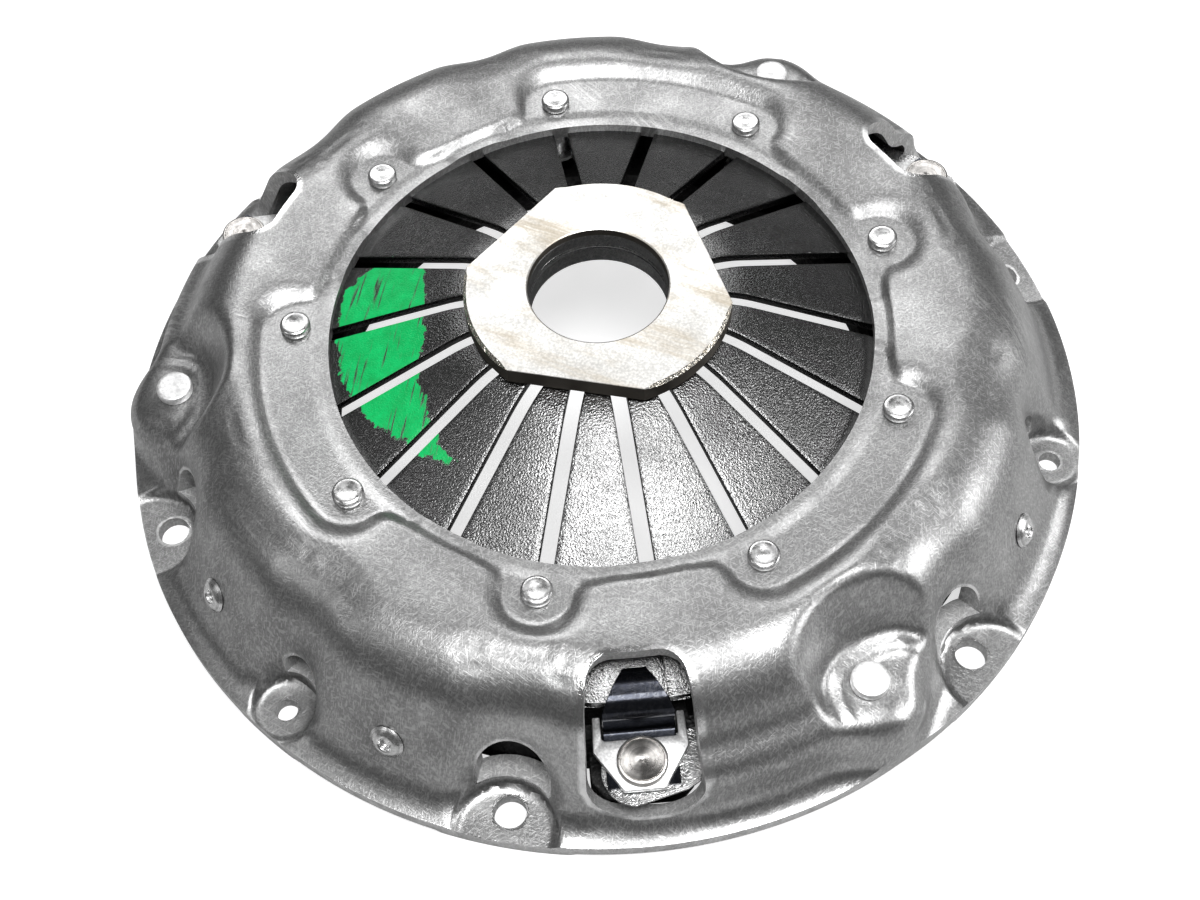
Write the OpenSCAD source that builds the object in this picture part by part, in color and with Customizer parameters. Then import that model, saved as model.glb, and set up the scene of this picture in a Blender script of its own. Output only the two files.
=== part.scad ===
// Clutch cover assembly of the diaphragm spring kind, for a 240 mm driven plate.
// Origin: centre of the bolt circle, on the flywheel face of the flange. +Z points to the gearbox.
// Everything is drawn unbolted, with the spring in its free, coned state.

/* [Cover pressing] */
// Outer diameter of the bolting flange
flange_d = 272; // [268:1:280]
// Pitch circle diameter of the flywheel bolts and dowels
bolt_pcd = 256; // [254:1:258]
// Clearance hole for each flywheel bolt
bolt_hole_d = 8.5; // [6.5:0.5:10.5]
// Hole for each locating dowel
dowel_hole_d = 6; // [4:0.5:8]
// Thickness of the pressed sheet
sheet_t = 4; // [3.4:0.2:4.4]
// Height of the dome's crest above the flywheel face
cover_h = 43.2; // [41.5:0.5:47]
// How far the riveting lands lie below the crest
land_drop = 3.2; // [2.4:0.2:4]
// Diameter of the round opening in the middle
opening_d = 149.6; // [146:1:152]
// Radius at which the wall would stand on the flange
wall_foot_r = 129.5; // [128.5:0.5:130.5]
// Slope of the wall, from the flywheel face
wall_slope = 63.5; // [61:0.5:66]
// Outside radius of the rounded shoulder
shoulder_r = 20; // [16:1:22]
// Radius of the hollow between wall and flange
foot_r = 6; // [4:0.5:7]
// Height of the flange above its pads
pad_step = 1; // [0.6:0.2:1.6]
// Half width of a bolt pad
bolt_pad_r = 13.3; // [12:0.1:14]
// Half width of a dowel pad
dowel_pad_r = 8.5; // [7.5:0.1:9]
// Radial length of a retraction window
window_l = 28; // [26:0.5:29]
// Width of a retraction window
window_w = 26; // [25.4:0.2:28]
// Corner radius of a retraction window
window_corner = 8; // [4:0.5:10]
// Width of the vent over a bolt pad
bolt_vent_w = 18.5; // [14:0.5:20]
// Width of the vent over a dowel pad
dowel_vent_w = 11.5; // [9:0.5:13]

/* [Diaphragm spring] */
// Outer diameter of the spring
spring_d = 211.2; // [209:0.2:213]
// Thickness of the spring
spring_t = 2.8; // [2.4:0.1:3.2]
// Cone angle of the free spring
cone_angle = 22; // [20:0.5:23]
// Number of fingers
fingers = 18; // [18:18:18]
// Width of the slot between two fingers
slot_w = 4; // [3:0.2:4.6]
// Radius of the circle of finger tips
tip_r = 24; // [23.2:0.2:26]

/* [Fulcrum] */
// Number of fulcrum rivets
fulcrum_count = 9; // [9:9:9]
// Pitch circle diameter of the fulcrum rivets
fulcrum_pcd = 168; // [167:0.5:169]
// Head diameter of a fulcrum rivet
fulcrum_head_d = 8.3; // [7.5:0.1:9]
// Head height of a fulcrum rivet
fulcrum_head_h = 2.5; // [1.8:0.1:3]
// Diameter of the shoulder that the spring swings on
fulcrum_shoulder_d = 6.4; // [5.6:0.1:7]
// Wire diameter of the two fulcrum rings
ring_wire_d = 5; // [4:0.1:5.4]

/* [Pressure plate] */
// Outer diameter of the friction ring
plate_d = 228; // [222:1:228.5]
// Bore of the friction ring
plate_bore_d = 154; // [148:1:158]
// Thickness of the friction ring
plate_t = 10.5; // [9:0.5:11]
// Height of the friction face above the flywheel face, unbolted
face_z = 2; // [1:0.5:2.5]
// Radius of the ridge that the spring presses on
ridge_r = 103; // [102.5:0.1:103.2]
// Radius of the circle of lug rivets
lug_pitch_r = 119.5; // [119:0.1:120]
// Height of the lugs above the friction face
lug_h = 12; // [11:0.5:12.5]

/* [Drive straps] */
// Number of leaves in a strap pack
leaves = 3; // [2:1:3]
// Thickness of one leaf
leaf_t = 0.9; // [0.7:0.1:1]
// Width of a leaf between its eyes
leaf_w = 12.4; // [11:0.2:12.8]
// Angle from a lug rivet on to its cover rivet
strap_span = 29; // [28.5:0.1:29.5]
// Radius of the circle of strap rivets in the cover
strap_pitch_r = 120.5; // [120:0.1:121]
// Height of the shelf that carries the strap rivets
shelf_z = 23.4; // [23:0.2:24.4]

/* [Release plate] */
// Diameter over the rounded sides of the release plate
release_d = 72; // [68:1:76]
// Distance of each flat from the middle
release_flat = 31.2; // [30:0.2:33]
// Thickness of the release plate
release_t = 5.8; // [4:0.2:8]
// Bore of the release plate and its sleeve
release_bore_d = 37.5; // [34:0.5:39]
// Outer diameter of the sleeve
sleeve_d = 45; // [43:0.5:45.4]
// Length of the sleeve below the release plate's top
sleeve_l = 13.4; // [13:0.2:18]

/* [Hidden] */
$fn = 96;
fit = 0.05;
running_gap = 0.3;
over = 60;

// Angles, all from +X. The three-fold stations are one third of a turn apart.
third = 120;
first_bolt = -90;
first_dowel = -120;
first_window = -74.5;
bolt_step = 60;
fulcrum_step = 360 / fulcrum_count;
finger_step = 360 / fingers;
strap_station = first_window + strap_span;
balance_stations = [-105, -135, -15];

// Cover: the lines of its section
land_z = cover_h - land_drop;
land_under = land_z - sheet_t;
flange_top = sheet_t + pad_step;
foot_z = 8;
wall_reach = sin(wall_slope) * wall_foot_r + cos(wall_slope) * foot_z;
shoulder_z = cover_h - shoulder_r;
crest_r = (wall_reach - shoulder_r - cos(wall_slope) * shoulder_z) / sin(wall_slope);
foot_x = (wall_reach + foot_r - cos(wall_slope) * (flange_top + foot_r)) / sin(wall_slope);
rim_w = 2.9;
rim_drop = 0.1;
rim_gap = 0.6;
roll_w = 1.8;
roll_fall = 1.6;
bolt_pad_at = bolt_pcd / 2 + 6;
dowel_pad_at = bolt_pcd / 2;
bolt_flute_lean = 3.2;
dowel_flute_lean = 1.5;
flute_turn_z = cover_h - 18.2;
flute_flare_r = 18;
land_r = 9;
land_edge_r = fulcrum_pcd / 2 + 8.5;
land_draft = 1.6;
window_out = wall_foot_r - 0.6;
vent_foot = 8.5;
vent_in = 14;
bolt_vent_top = flute_turn_z - 0.7;
dowel_vent_top = 19;

// Strap housing: the lower bulge of the wall, with the shelf at its far end
shelf_r = 9;
scoop_lean = 3.5;
scoop_h = 14;
housing_top = shelf_z + 1.5;
housing_side = strap_pitch_r + 8.7;
housing_round = 6.5;
housing_foot = 2.4;
housing_in = 108;
housing_short = 2.5;
boss_r = 11.8;
boss_round = 4;
boss_foot_r = 13.2;

// Fulcrum and spring heights follow the underside of the lands
ring_r = fulcrum_pcd / 2 + fulcrum_shoulder_d / 2 + ring_wire_d / 2 + 0.1;
ring_z = land_under - ring_wire_d / 2 - fit;
ring_rise = (ring_wire_d / 2 + fit) / cos(cone_angle);
spring_rise = spring_t / cos(cone_angle);
function spring_top(r) = ring_z - ring_rise + (ring_r - r) * tan(cone_angle);
function spring_under(r) = spring_top(r) - spring_rise;
lower_ring_z = spring_under(ring_r) - ring_rise;
bend_r = 42;
bend_round = 32;
tip_top = spring_top(bend_r) + bend_round * (1 - cos(cone_angle));
keyhole_r = 5.5;
keyhole_at = ring_r - 1.4 - keyhole_r;
fulcrum_hole_d = 5;
fulcrum_foot_d = 2 * (ring_r + 2.3 - fulcrum_pcd / 2);
fulcrum_foot_h = 1.8;
fulcrum_foot_z = lower_ring_z - ring_wire_d / 2 - fit;

// Pressure plate
plate_top = face_z + plate_t;
bead_r = 1.8;
bead_z = spring_under(ridge_r) - (bead_r + running_gap) / cos(cone_angle);
ridge_foot = 3.2;
ridge_gap = 9;
ridge_span = fulcrum_step - ridge_gap / ridge_r * 180 / PI;
rim_h = 6;
rim_draft_z = face_z + rim_h;
rim_draft = 4;
lug_top = face_z + lug_h;
lug_foot = 4;
lug_under = face_z + lug_foot;
lug_r = 9.4;
lug_neck = 13;
lug_wall_gap = 5.3;
lug_reach = wall_foot_r - lug_wall_gap;

// Strap stack on the lug, from the lug up
pack_t = leaves * leaf_t;
clip_t = 0.9;
clip_plate_t = 1.6;
lug_pack_top = lug_top + pack_t;
clip_plate_z = lug_pack_top + clip_t;
lug_head_z = clip_plate_z + clip_plate_t;
lug_head_d = 12.8;
lug_head_h = 2.5;
lug_shank_d = 8;
lug_tail_d = 9.6;
cover_pack_top = shelf_z - sheet_t;
strap_head_d = 10;
strap_head_h = 2.8;
strap_shank_d = 7;
strap_tail_h = 2.2;
lug_eye_r = 8.8;
cover_eye_r = 7.3;
eye_flat = 11;
leaf_gap = 0.04;

// Retraction clip
clip_base_w = 18.3;
clip_tip_w = 6.2;
clip_back = 7.2;
clip_back_r = lug_pitch_r - clip_back;
clip_bend = 2;
clip_lap = 6.4;
clip_tip_r = spring_d / 2 - clip_lap;
clip_heel = 5.5;
clip_heel_r = lug_pitch_r + clip_heel;
fork_w = 24;
fork_heel_w = 10.2;
fork_heel = 6.9;
fork_corner = 3.9;
fork_reach = 13.2;
fork_heel_r = lug_pitch_r + fork_heel;
fork_corner_r = lug_pitch_r - fork_corner;
fork_tip_r = lug_pitch_r - fork_reach;
fork_taper = 0.4;

// Release plate and sleeve
release_under = tip_top + fit;
release_top = release_under + release_t;
release_edge = 0.8;
sleeve_lip = 2.2;
sleeve_top = release_top - sleeve_lip;
sleeve_ring_d = 54;
sleeve_ring_t = 2.4;
sleeve_ring_z = tip_top - spring_t - fit - sleeve_ring_t;
snap_wire_d = 1.8;
snap_r = release_bore_d / 2 + snap_wire_d / 2 + fit;
snap_z = release_top - release_t - 1.2;

// Balance rivets in the wall
balance_z = 18;
balance_head_d = 9.5;
balance_hole_d = 3.5;
balance_body_d = 4.8;

function arc(cx, cy, r, a0, a1, n) =
    [for (i = [0:n]) let (a = a0 + (a1 - a0) * i / n) [cx + r * cos(a), cy + r * sin(a)]];

module at(angle, r) rotate(angle) translate([r, 0, 0]) children();

// Section of the dome and wall from radius r0 out, set in by o from the outside
function wall_section(r0, o) = concat(
    [[r0, land_z - rim_drop - o], [opening_d / 2 + rim_w, land_z - rim_drop - o]],
    [[opening_d / 2 + rim_w + roll_w, cover_h - roll_fall - o]],
    arc(crest_r, shoulder_z, shoulder_r - o, 90, 90 - wall_slope, 7),
    arc(foot_x, flange_top + foot_r, foot_r + o, 270 - wall_slope, 270, 4));

// Section of a flute about the upright axis of its pad, with its wall o further out
function flute_section(r, lean, o, z0) = concat(
    [[0, z0], [r + o, z0], [r + o, sheet_t]],
    arc(r + lean + flute_flare_r, flute_turn_z, flute_flare_r - o, 180, 96, 6),
    [[r + lean + flute_flare_r, cover_h + over], [0, cover_h + over]]);

module flute(r, lean, o, z0) rotate_extrude() polygon(flute_section(r, lean, o, z0));

// The hollows over all nine pads. With o they are the space that the sheet's inside leaves free.
module flutes(o, z0) {
    for (i = [0:5]) at(first_bolt + i * bolt_step, bolt_pad_at)
        flute(bolt_pad_r, bolt_flute_lean, o, z0);
    for (i = [0:2]) at(first_dowel + i * third, dowel_pad_at)
        flute(dowel_pad_r, dowel_flute_lean, o, z0);
}

// The bulge that gives each drive strap its room, with a boss round the strap rivet
function housing_section(o) = concat(
    [[housing_in, 0], [housing_side + housing_foot - o, 0],
        [housing_side + housing_foot - o, flange_top]],
    arc(housing_side - housing_round, housing_top - housing_round, housing_round - o, 0, 90, 4),
    [[housing_in, housing_top - o]]);
function boss_section(o) = [[0, 0], [boss_foot_r - o, 0], [boss_foot_r - o, flange_top],
    [boss_r - o, shelf_z - boss_round - o / 2], [boss_r - boss_round, shelf_z - o],
    [0, shelf_z - o]];

module strap_housing(o, span) {
    for (i = [0:2]) {
        rotate(first_window + i * third) rotate_extrude(angle = span)
            polygon(housing_section(o));
        at(strap_station + i * third, strap_pitch_r) rotate_extrude()
            polygon(boss_section(o));
    }
}

// The scoop over each shelf, down to the shelf itself
module scoops(o) {
    for (i = [0:2]) at(strap_station + i * third, strap_pitch_r)
        translate([0, 0, shelf_z - o])
            cylinder(h = scoop_h + 2 * o, r1 = shelf_r + o, r2 = shelf_r + scoop_lean + o);
}

// Riveting lands: one round, and one long land over two rivets, on every third of the cover
module land_end(angle, grow, z0, h) at(angle, fulcrum_pcd / 2) translate([0, 0, z0]) {
    cylinder(h = h, r1 = land_r + grow, r2 = land_r + grow + land_draft);
    mirror([1, 0, 0]) translate([0, -land_r - grow, 0])
        cube([fulcrum_pcd / 4, 2 * (land_r + grow), h]);
}

module lands(grow, z0, h) {
    for (i = [0:2]) rotate(first_bolt + i * third) {
        land_end(0, grow, z0, h);
        for (s = [1, 2]) land_end(s * fulcrum_step, grow, z0, h);
        rotate(fulcrum_step) rotate_extrude(angle = fulcrum_step)
            polygon([[opening_d / 4, z0], [land_edge_r + grow, z0],
                [land_edge_r + grow + land_draft, z0 + h], [opening_d / 4, z0 + h]]);
    }
}

// Plan outline of a window, its outer edge at the foot of the wall
module window_outline() {
    half = window_w / 2 - window_corner;
    near = window_out - window_l + window_corner;
    far = window_out - window_corner;
    for (x = [near, far]) for (y = [-half, half]) translate([x, y]) circle(r = window_corner);
    translate([near - window_corner, -half]) square([window_l, 2 * half]);
    translate([near, -window_w / 2]) square([far - near, window_w]);
}

module vent(w, top) {
    translate([0, 0, top - w / 2]) rotate([0, 90, 0]) cylinder(h = over / 2, d = w);
    translate([0, -w / 2, vent_foot]) cube([over / 2, w, top - w / 2 - vent_foot]);
}

// The edge of the opening is coined on the inside, so that the fingers clear it
module rim_relief() rotate_extrude() polygon([
    [0, spring_top(ring_r)], [0, spring_top(0) + rim_gap], [ring_r, spring_top(ring_r) + rim_gap],
    [ring_r, spring_top(ring_r)]]);

module cover_holes() {
    rim_relief();
    for (i = [0:5]) rotate(first_bolt + i * bolt_step) {
        translate([bolt_pcd / 2, 0, 0]) cylinder(h = over, d = bolt_hole_d, center = true);
        translate([bolt_pad_at - bolt_pad_r - vent_in, 0, 0]) vent(bolt_vent_w, bolt_vent_top);
    }
    for (i = [0:2]) {
        rotate(first_dowel + i * third) {
            translate([bolt_pcd / 2, 0, 0]) cylinder(h = over, d = dowel_hole_d, center = true);
            translate([dowel_pad_at - dowel_pad_r - vent_in, 0, 0]) vent(dowel_vent_w, dowel_vent_top);
        }
        rotate(first_window + i * third) translate([0, 0, foot_z]) linear_extrude(over)
            window_outline();
        at(strap_station + i * third, strap_pitch_r)
            cylinder(h = over, d = strap_shank_d + 2 * fit);
    }
    for (i = [0:fulcrum_count - 1]) at(first_bolt + i * fulcrum_step, fulcrum_pcd / 2)
        cylinder(h = over, d = fulcrum_hole_d + 2 * fit);
    for (a = balance_stations) balance_place(a)
        cylinder(h = over / 2, d = balance_body_d + 2 * fit, center = true);
}

module cover() color("DimGray") difference() {
    union() {
        rotate_extrude() polygon(concat(wall_section(opening_d / 2, 0),
            [[flange_d / 2, flange_top], [flange_d / 2, 0], [opening_d / 2, 0]]));
        strap_housing(0, strap_span - housing_short);
    }
    difference() {
        union() {
            rotate_extrude() polygon(concat(wall_section(0, sheet_t),
                [[flange_d, pad_step], [flange_d, -over], [0, -over]]));
            difference() {
                strap_housing(sheet_t, strap_span);
                translate([0, 0, shelf_z]) cylinder(h = over, d = flange_d);
            }
        }
        flutes(sheet_t, -1);
        scoops(sheet_t);
        lands(sheet_t * 0.7, land_under, sheet_t);
    }
    flutes(0, sheet_t);
    scoops(0);
    lands(0, land_z, land_drop + fit);
    cover_holes();
}

// Diaphragm spring: a coned disc with bent finger tips, slotted from the middle
function spring_side(o) = concat(
    [[tip_r, tip_top - o]],
    arc(bend_r - bend_round * sin(cone_angle), tip_top - bend_round, bend_round - o,
        90, 90 - cone_angle, 5));

module diaphragm_spring() color("DarkSlateGray") difference() {
    rotate_extrude() polygon(concat(spring_side(0),
        [[spring_d / 2, spring_top(spring_d / 2)], [spring_d / 2, spring_under(spring_d / 2)]],
        [for (i = [6:-1:0]) spring_side(spring_t)[i]]));
    for (i = [0:fingers - 1]) rotate(first_bolt + i * finger_step) {
        translate([0, -slot_w / 2, 0]) cube([keyhole_at, slot_w, over * 2]);
        translate([keyhole_at, 0, 0]) cylinder(h = over * 2, r = keyhole_r);
    }
}

module fulcrum_ring(z) rotate_extrude() translate([ring_r, z]) circle(d = ring_wire_d, $fn = 32);
module upper_fulcrum_ring() color("Gray") fulcrum_ring(ring_z);
module lower_fulcrum_ring() color("Gray") fulcrum_ring(lower_ring_z);

module fulcrum_rivets() color("Silver")
    for (i = [0:fulcrum_count - 1]) at(first_bolt + i * fulcrum_step, fulcrum_pcd / 2)
        rotate_extrude($fn = 48) polygon([
            [0, fulcrum_foot_z - fulcrum_foot_h],
            [fulcrum_foot_d / 2, fulcrum_foot_z - fulcrum_foot_h],
            [fulcrum_foot_d / 2, fulcrum_foot_z], [fulcrum_shoulder_d / 2, fulcrum_foot_z],
            [fulcrum_shoulder_d / 2, land_under], [fulcrum_hole_d / 2, land_under],
            [fulcrum_hole_d / 2, land_z], [fulcrum_head_d / 2 - 0.2, land_z],
            [fulcrum_head_d / 2, land_z + fulcrum_head_h - 0.6],
            [fulcrum_head_d / 2 - 0.6, land_z + fulcrum_head_h],
            [1.2, land_z + fulcrum_head_h - 0.5], [0, land_z + fulcrum_head_h - 0.6]]);

// Cast pressure plate: friction ring, interrupted ridge for the spring, three lugs
module pressure_plate() color("#3a3a3a") difference() {
    union() {
        rotate_extrude() polygon([
            [plate_bore_d / 2, face_z + 1], [plate_bore_d / 2 + 1, face_z],
            [plate_d / 2 - 1, face_z], [plate_d / 2, face_z + 1], [plate_d / 2, rim_draft_z],
            [plate_d / 2 - rim_draft, plate_top], [plate_bore_d / 2 + 2, plate_top],
            [plate_bore_d / 2, plate_top - 2]]);
        for (i = [0:fulcrum_count - 1])
            rotate(first_bolt + i * fulcrum_step - ridge_span / 2) rotate_extrude(angle = ridge_span)
                polygon(concat([[ridge_r - ridge_foot, plate_top - 1]],
                    [[ridge_r + ridge_foot, plate_top - 1]],
                    arc(ridge_r, bead_z, bead_r, 0, 180, 6)));
        for (i = [0:2]) rotate(first_window + i * third) intersection() {
            translate([0, 0, lug_under]) union() {
                translate([lug_pitch_r, 0, 0]) cylinder(h = lug_h - lug_foot, r = lug_r);
                translate([lug_pitch_r - lug_neck, -lug_r, 0])
                    cube([lug_neck, 2 * lug_r, lug_h - lug_foot]);
            }
            cylinder(h = over, r = lug_reach);
        }
    }
    for (i = [0:2]) at(first_window + i * third, lug_pitch_r)
        cylinder(h = over, d = lug_shank_d + 2 * fit);
}

// Strap pack number i: leaves with an eye at each end, set down to the lug when free
strap_dx = strap_pitch_r * cos(strap_span) - lug_pitch_r;
strap_dy = strap_pitch_r * sin(strap_span);
strap_l = sqrt(strap_dx * strap_dx + strap_dy * strap_dy);
strap_turn = atan2(strap_dy, strap_dx);
strap_rise = cover_pack_top - lug_pack_top;

module leaf(t) {
    difference() {
        union() {
            cylinder(h = t, r = lug_eye_r);
            translate([strap_l, 0, strap_rise]) cylinder(h = t, r = cover_eye_r);
            translate([0, leaf_w / 2, 0]) rotate([90, 0, 0]) linear_extrude(leaf_w) polygon([
                [0, 0], [eye_flat, 0], [strap_l - eye_flat, strap_rise], [strap_l, strap_rise],
                [strap_l, strap_rise + t], [strap_l - eye_flat, strap_rise + t],
                [eye_flat, t], [0, t]]);
        }
        cylinder(h = over, d = lug_shank_d + 2 * fit, center = true);
        translate([strap_l, 0, 0])
            cylinder(h = over * 2, d = strap_shank_d + 2 * fit, center = true);
    }
}

module drive_strap(i) color("Silver")
    at(first_window + i * third, lug_pitch_r) rotate(strap_turn)
        for (n = [0:leaves - 1]) translate([0, 0, lug_top + n * leaf_t]) leaf(leaf_t - leaf_gap);

module strap_rivet(i) color("Silver") at(strap_station + i * third, strap_pitch_r)
    rotate_extrude($fn = 48) polygon([
        [0, cover_pack_top - pack_t - strap_tail_h],
        [strap_head_d / 2 - 0.8, cover_pack_top - pack_t - strap_tail_h],
        [strap_head_d / 2, cover_pack_top - pack_t - strap_tail_h + 0.8],
        [strap_head_d / 2, cover_pack_top - pack_t], [strap_shank_d / 2, cover_pack_top - pack_t],
        [strap_shank_d / 2, shelf_z], [strap_head_d / 2, shelf_z],
        [strap_head_d / 2, shelf_z + strap_head_h - 0.5],
        [strap_head_d / 2 - 0.5, shelf_z + strap_head_h], [0, shelf_z + strap_head_h]]);

module lug_rivet(i) color("Gainsboro") at(first_window + i * third, lug_pitch_r)
    rotate_extrude($fn = 48) polygon([
        [0, lug_under - 0.8], [lug_tail_d / 2 - 0.8, lug_under - 0.8], [lug_tail_d / 2, lug_under],
        [lug_shank_d / 2, lug_under], [lug_shank_d / 2, lug_head_z],
        [lug_head_d / 2, lug_head_z], [lug_head_d / 2, lug_head_z + lug_head_h - 0.4],
        [lug_head_d / 2 - 0.4, lug_head_z + lug_head_h], [0, lug_head_z + lug_head_h - 0.3]]);

// Bright fork plate over the strap eye, its arms beside the clip's tongue
fork_half = [[fork_heel_r, fork_heel_w / 2], [fork_corner_r, fork_w / 2],
    [fork_tip_r, fork_w / 2 - fork_taper], [fork_tip_r, clip_base_w / 2 + fit],
    [clip_back_r + fit, clip_base_w / 2 + fit]];

module clip_plate(i) color("WhiteSmoke") rotate(first_window + i * third) difference() {
    translate([0, 0, clip_plate_z]) linear_extrude(clip_plate_t)
        polygon(concat(fork_half, [for (k = [4:-1:0]) [fork_half[k][0], -fork_half[k][1]]]));
    translate([lug_pitch_r, 0, 0]) cylinder(h = over, d = lug_shank_d + 2 * fit);
}

// Side view of the clip: flat under the fork plate, up, and over the rim of the spring
tongue_knee_z = spring_top(spring_d / 2) - 0.6;
tongue_knee = [clip_back_r - clip_bend, tongue_knee_z];
function tongue_knee_arc(r) = arc(tongue_knee[0], tongue_knee[1], r, 0, 90 - cone_angle, 3);
function tongue_tip(o) = [clip_tip_r, spring_top(clip_tip_r) + running_gap + o];
function tongue_section() = concat(
    [[clip_heel_r, lug_pack_top], [clip_heel_r, clip_plate_z], [clip_back_r, clip_plate_z]],
    tongue_knee_arc(clip_bend),
    [tongue_tip(clip_t), tongue_tip(0)],
    [for (k = [3:-1:0]) tongue_knee_arc(clip_bend - clip_t)[k]],
    [[clip_back_r - clip_t, lug_pack_top]]);

// Spring steel tongue that holds the rim of the diaphragm down on the ridge
module retraction_clip(i) color("#15171a") rotate(first_window + i * third) difference() {
    intersection() {
        translate([0, clip_base_w / 2, 0]) rotate([90, 0, 0]) linear_extrude(clip_base_w)
            polygon(tongue_section());
        linear_extrude(over * 2) polygon([
            [clip_heel_r, -clip_base_w / 2], [clip_heel_r, clip_base_w / 2],
            [clip_back_r - 3, clip_base_w / 2], [clip_tip_r, clip_tip_w / 2],
            [clip_tip_r, -clip_tip_w / 2], [clip_back_r - 3, -clip_base_w / 2]]);
    }
    translate([lug_pitch_r, 0, 0]) cylinder(h = over, d = lug_shank_d + 2 * fit);
}

// Release plate: a round plate with three flats, on the finger tips
module release_plate() color("Gainsboro") difference() {
    intersection() {
        translate([0, 0, release_under]) rotate_extrude() polygon([
            [0, 0], [release_d / 2 - release_edge, 0], [release_d / 2, release_edge],
            [release_d / 2, release_t - release_edge],
            [release_d / 2 - release_edge, release_t], [0, release_t]]);
        linear_extrude(over * 2) polygon([for (k = [0:2]) let (a = first_bolt + third * (k + 0.5))
            2 * release_flat * [cos(a), sin(a)]]);
    }
    cylinder(h = sleeve_top, d = sleeve_d);
    cylinder(h = over * 2, d = release_bore_d);
}

// The sleeve is pressed into the plate from below, up to a lip at the plate's top
module release_sleeve() color("SlateGray") difference() {
    translate([0, 0, release_top - sleeve_l])
        cylinder(h = sleeve_l - sleeve_lip, d = sleeve_d - 2 * fit);
    cylinder(h = over * 2, d = release_bore_d);
    translate([0, 0, snap_z - snap_wire_d / 2 - fit])
        cylinder(h = snap_wire_d + 2 * fit, r = snap_r + snap_wire_d / 2 + fit);
}

module sleeve_retaining_ring() color("DimGray") translate([0, 0, sleeve_ring_z]) difference() {
    cylinder(h = sleeve_ring_t, d = sleeve_ring_d);
    translate([0, 0, -1]) cylinder(h = over, d = sleeve_d);
    translate([0, -3, -1]) cube([over, 6, over]);
}

module bearing_snap_ring() color("Silver") difference() {
    translate([0, 0, snap_z]) rotate_extrude() translate([snap_r, 0])
        circle(d = snap_wire_d, $fn = 24);
    translate([0, -5, 0]) cube([over, 10, over * 2]);
}

// A balance rivet stands square to the wall
module balance_place(angle) rotate(angle)
    translate([wall_foot_r - (balance_z - foot_z) / tan(wall_slope), 0, balance_z])
        rotate([0, wall_slope, 0]) children();

module balance_rivet(i) color("Silver") balance_place(balance_stations[i])
    rotate_extrude($fn = 48) polygon([
        [balance_hole_d / 2, -sheet_t - 3.4], [2.9, -sheet_t - 2.6], [2.9, -sheet_t - 0.6],
        [balance_body_d / 2, -sheet_t], [balance_body_d / 2, 0], [balance_head_d / 2, 0.1],
        [balance_head_d / 2, 0.4], [3.6, 1.3], [2.4, 1.6], [balance_hole_d / 2, 1.4]]);

cover();
diaphragm_spring();
upper_fulcrum_ring();
lower_fulcrum_ring();
fulcrum_rivets();
pressure_plate();
release_plate();
release_sleeve();
sleeve_retaining_ring();
bearing_snap_ring();
drive_strap(0);  // drive_strap_1
drive_strap(1);  // drive_strap_2
drive_strap(2);  // drive_strap_3
strap_rivet(0);  // strap_rivet_1
strap_rivet(1);  // strap_rivet_2
strap_rivet(2);  // strap_rivet_3
lug_rivet(0);  // lug_rivet_1
lug_rivet(1);  // lug_rivet_2
lug_rivet(2);  // lug_rivet_3
clip_plate(0);  // clip_plate_1
clip_plate(1);  // clip_plate_2
clip_plate(2);  // clip_plate_3
retraction_clip(0);  // retraction_clip_1
retraction_clip(1);  // retraction_clip_2
retraction_clip(2);  // retraction_clip_3
balance_rivet(0);  // balance_rivet_1
balance_rivet(1);  // balance_rivet_2
balance_rivet(2);  // balance_rivet_3
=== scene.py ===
# %% [markdown]
# # A clutch cover assembly
# This is the half of a car's clutch that is bolted to the flywheel. A lobed steel cover carries a slotted
# diaphragm spring on riveted rings. The spring presses a cast plate down, and a release plate on its
# finger tips lets the driver take that load off.
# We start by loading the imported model. Everything below is in metres and in the model's own frame.

# %% Load the model
import math

import bmesh
import bpy
import numpy as np
from mathutils import Matrix, Vector


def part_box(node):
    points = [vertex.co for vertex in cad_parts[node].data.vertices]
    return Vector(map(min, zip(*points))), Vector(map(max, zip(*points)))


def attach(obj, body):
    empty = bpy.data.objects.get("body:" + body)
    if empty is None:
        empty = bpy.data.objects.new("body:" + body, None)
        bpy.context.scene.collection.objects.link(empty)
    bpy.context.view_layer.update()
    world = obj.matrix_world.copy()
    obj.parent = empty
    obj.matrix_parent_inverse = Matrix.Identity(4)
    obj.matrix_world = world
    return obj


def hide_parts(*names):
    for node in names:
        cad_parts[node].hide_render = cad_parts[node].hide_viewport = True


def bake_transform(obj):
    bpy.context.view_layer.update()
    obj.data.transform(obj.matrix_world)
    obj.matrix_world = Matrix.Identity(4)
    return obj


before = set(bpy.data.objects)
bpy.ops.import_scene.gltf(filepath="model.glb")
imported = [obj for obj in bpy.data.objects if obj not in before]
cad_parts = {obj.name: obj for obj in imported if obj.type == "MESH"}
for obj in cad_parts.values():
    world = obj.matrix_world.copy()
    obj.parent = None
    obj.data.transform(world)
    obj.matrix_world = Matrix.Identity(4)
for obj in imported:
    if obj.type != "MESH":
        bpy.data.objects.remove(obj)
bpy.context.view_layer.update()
MM = 0.001

# %% [markdown]
# ## The sizes of the cover
# The pressing is worked out from the same sizes as the part's drawing: a dome with a rounded shoulder,
# a leaning wall and a flange with nine bolt and dowel pads. All of them are in millimetres here, because
# a maker reads them that way, and are turned into metres when a mesh is made.

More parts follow.
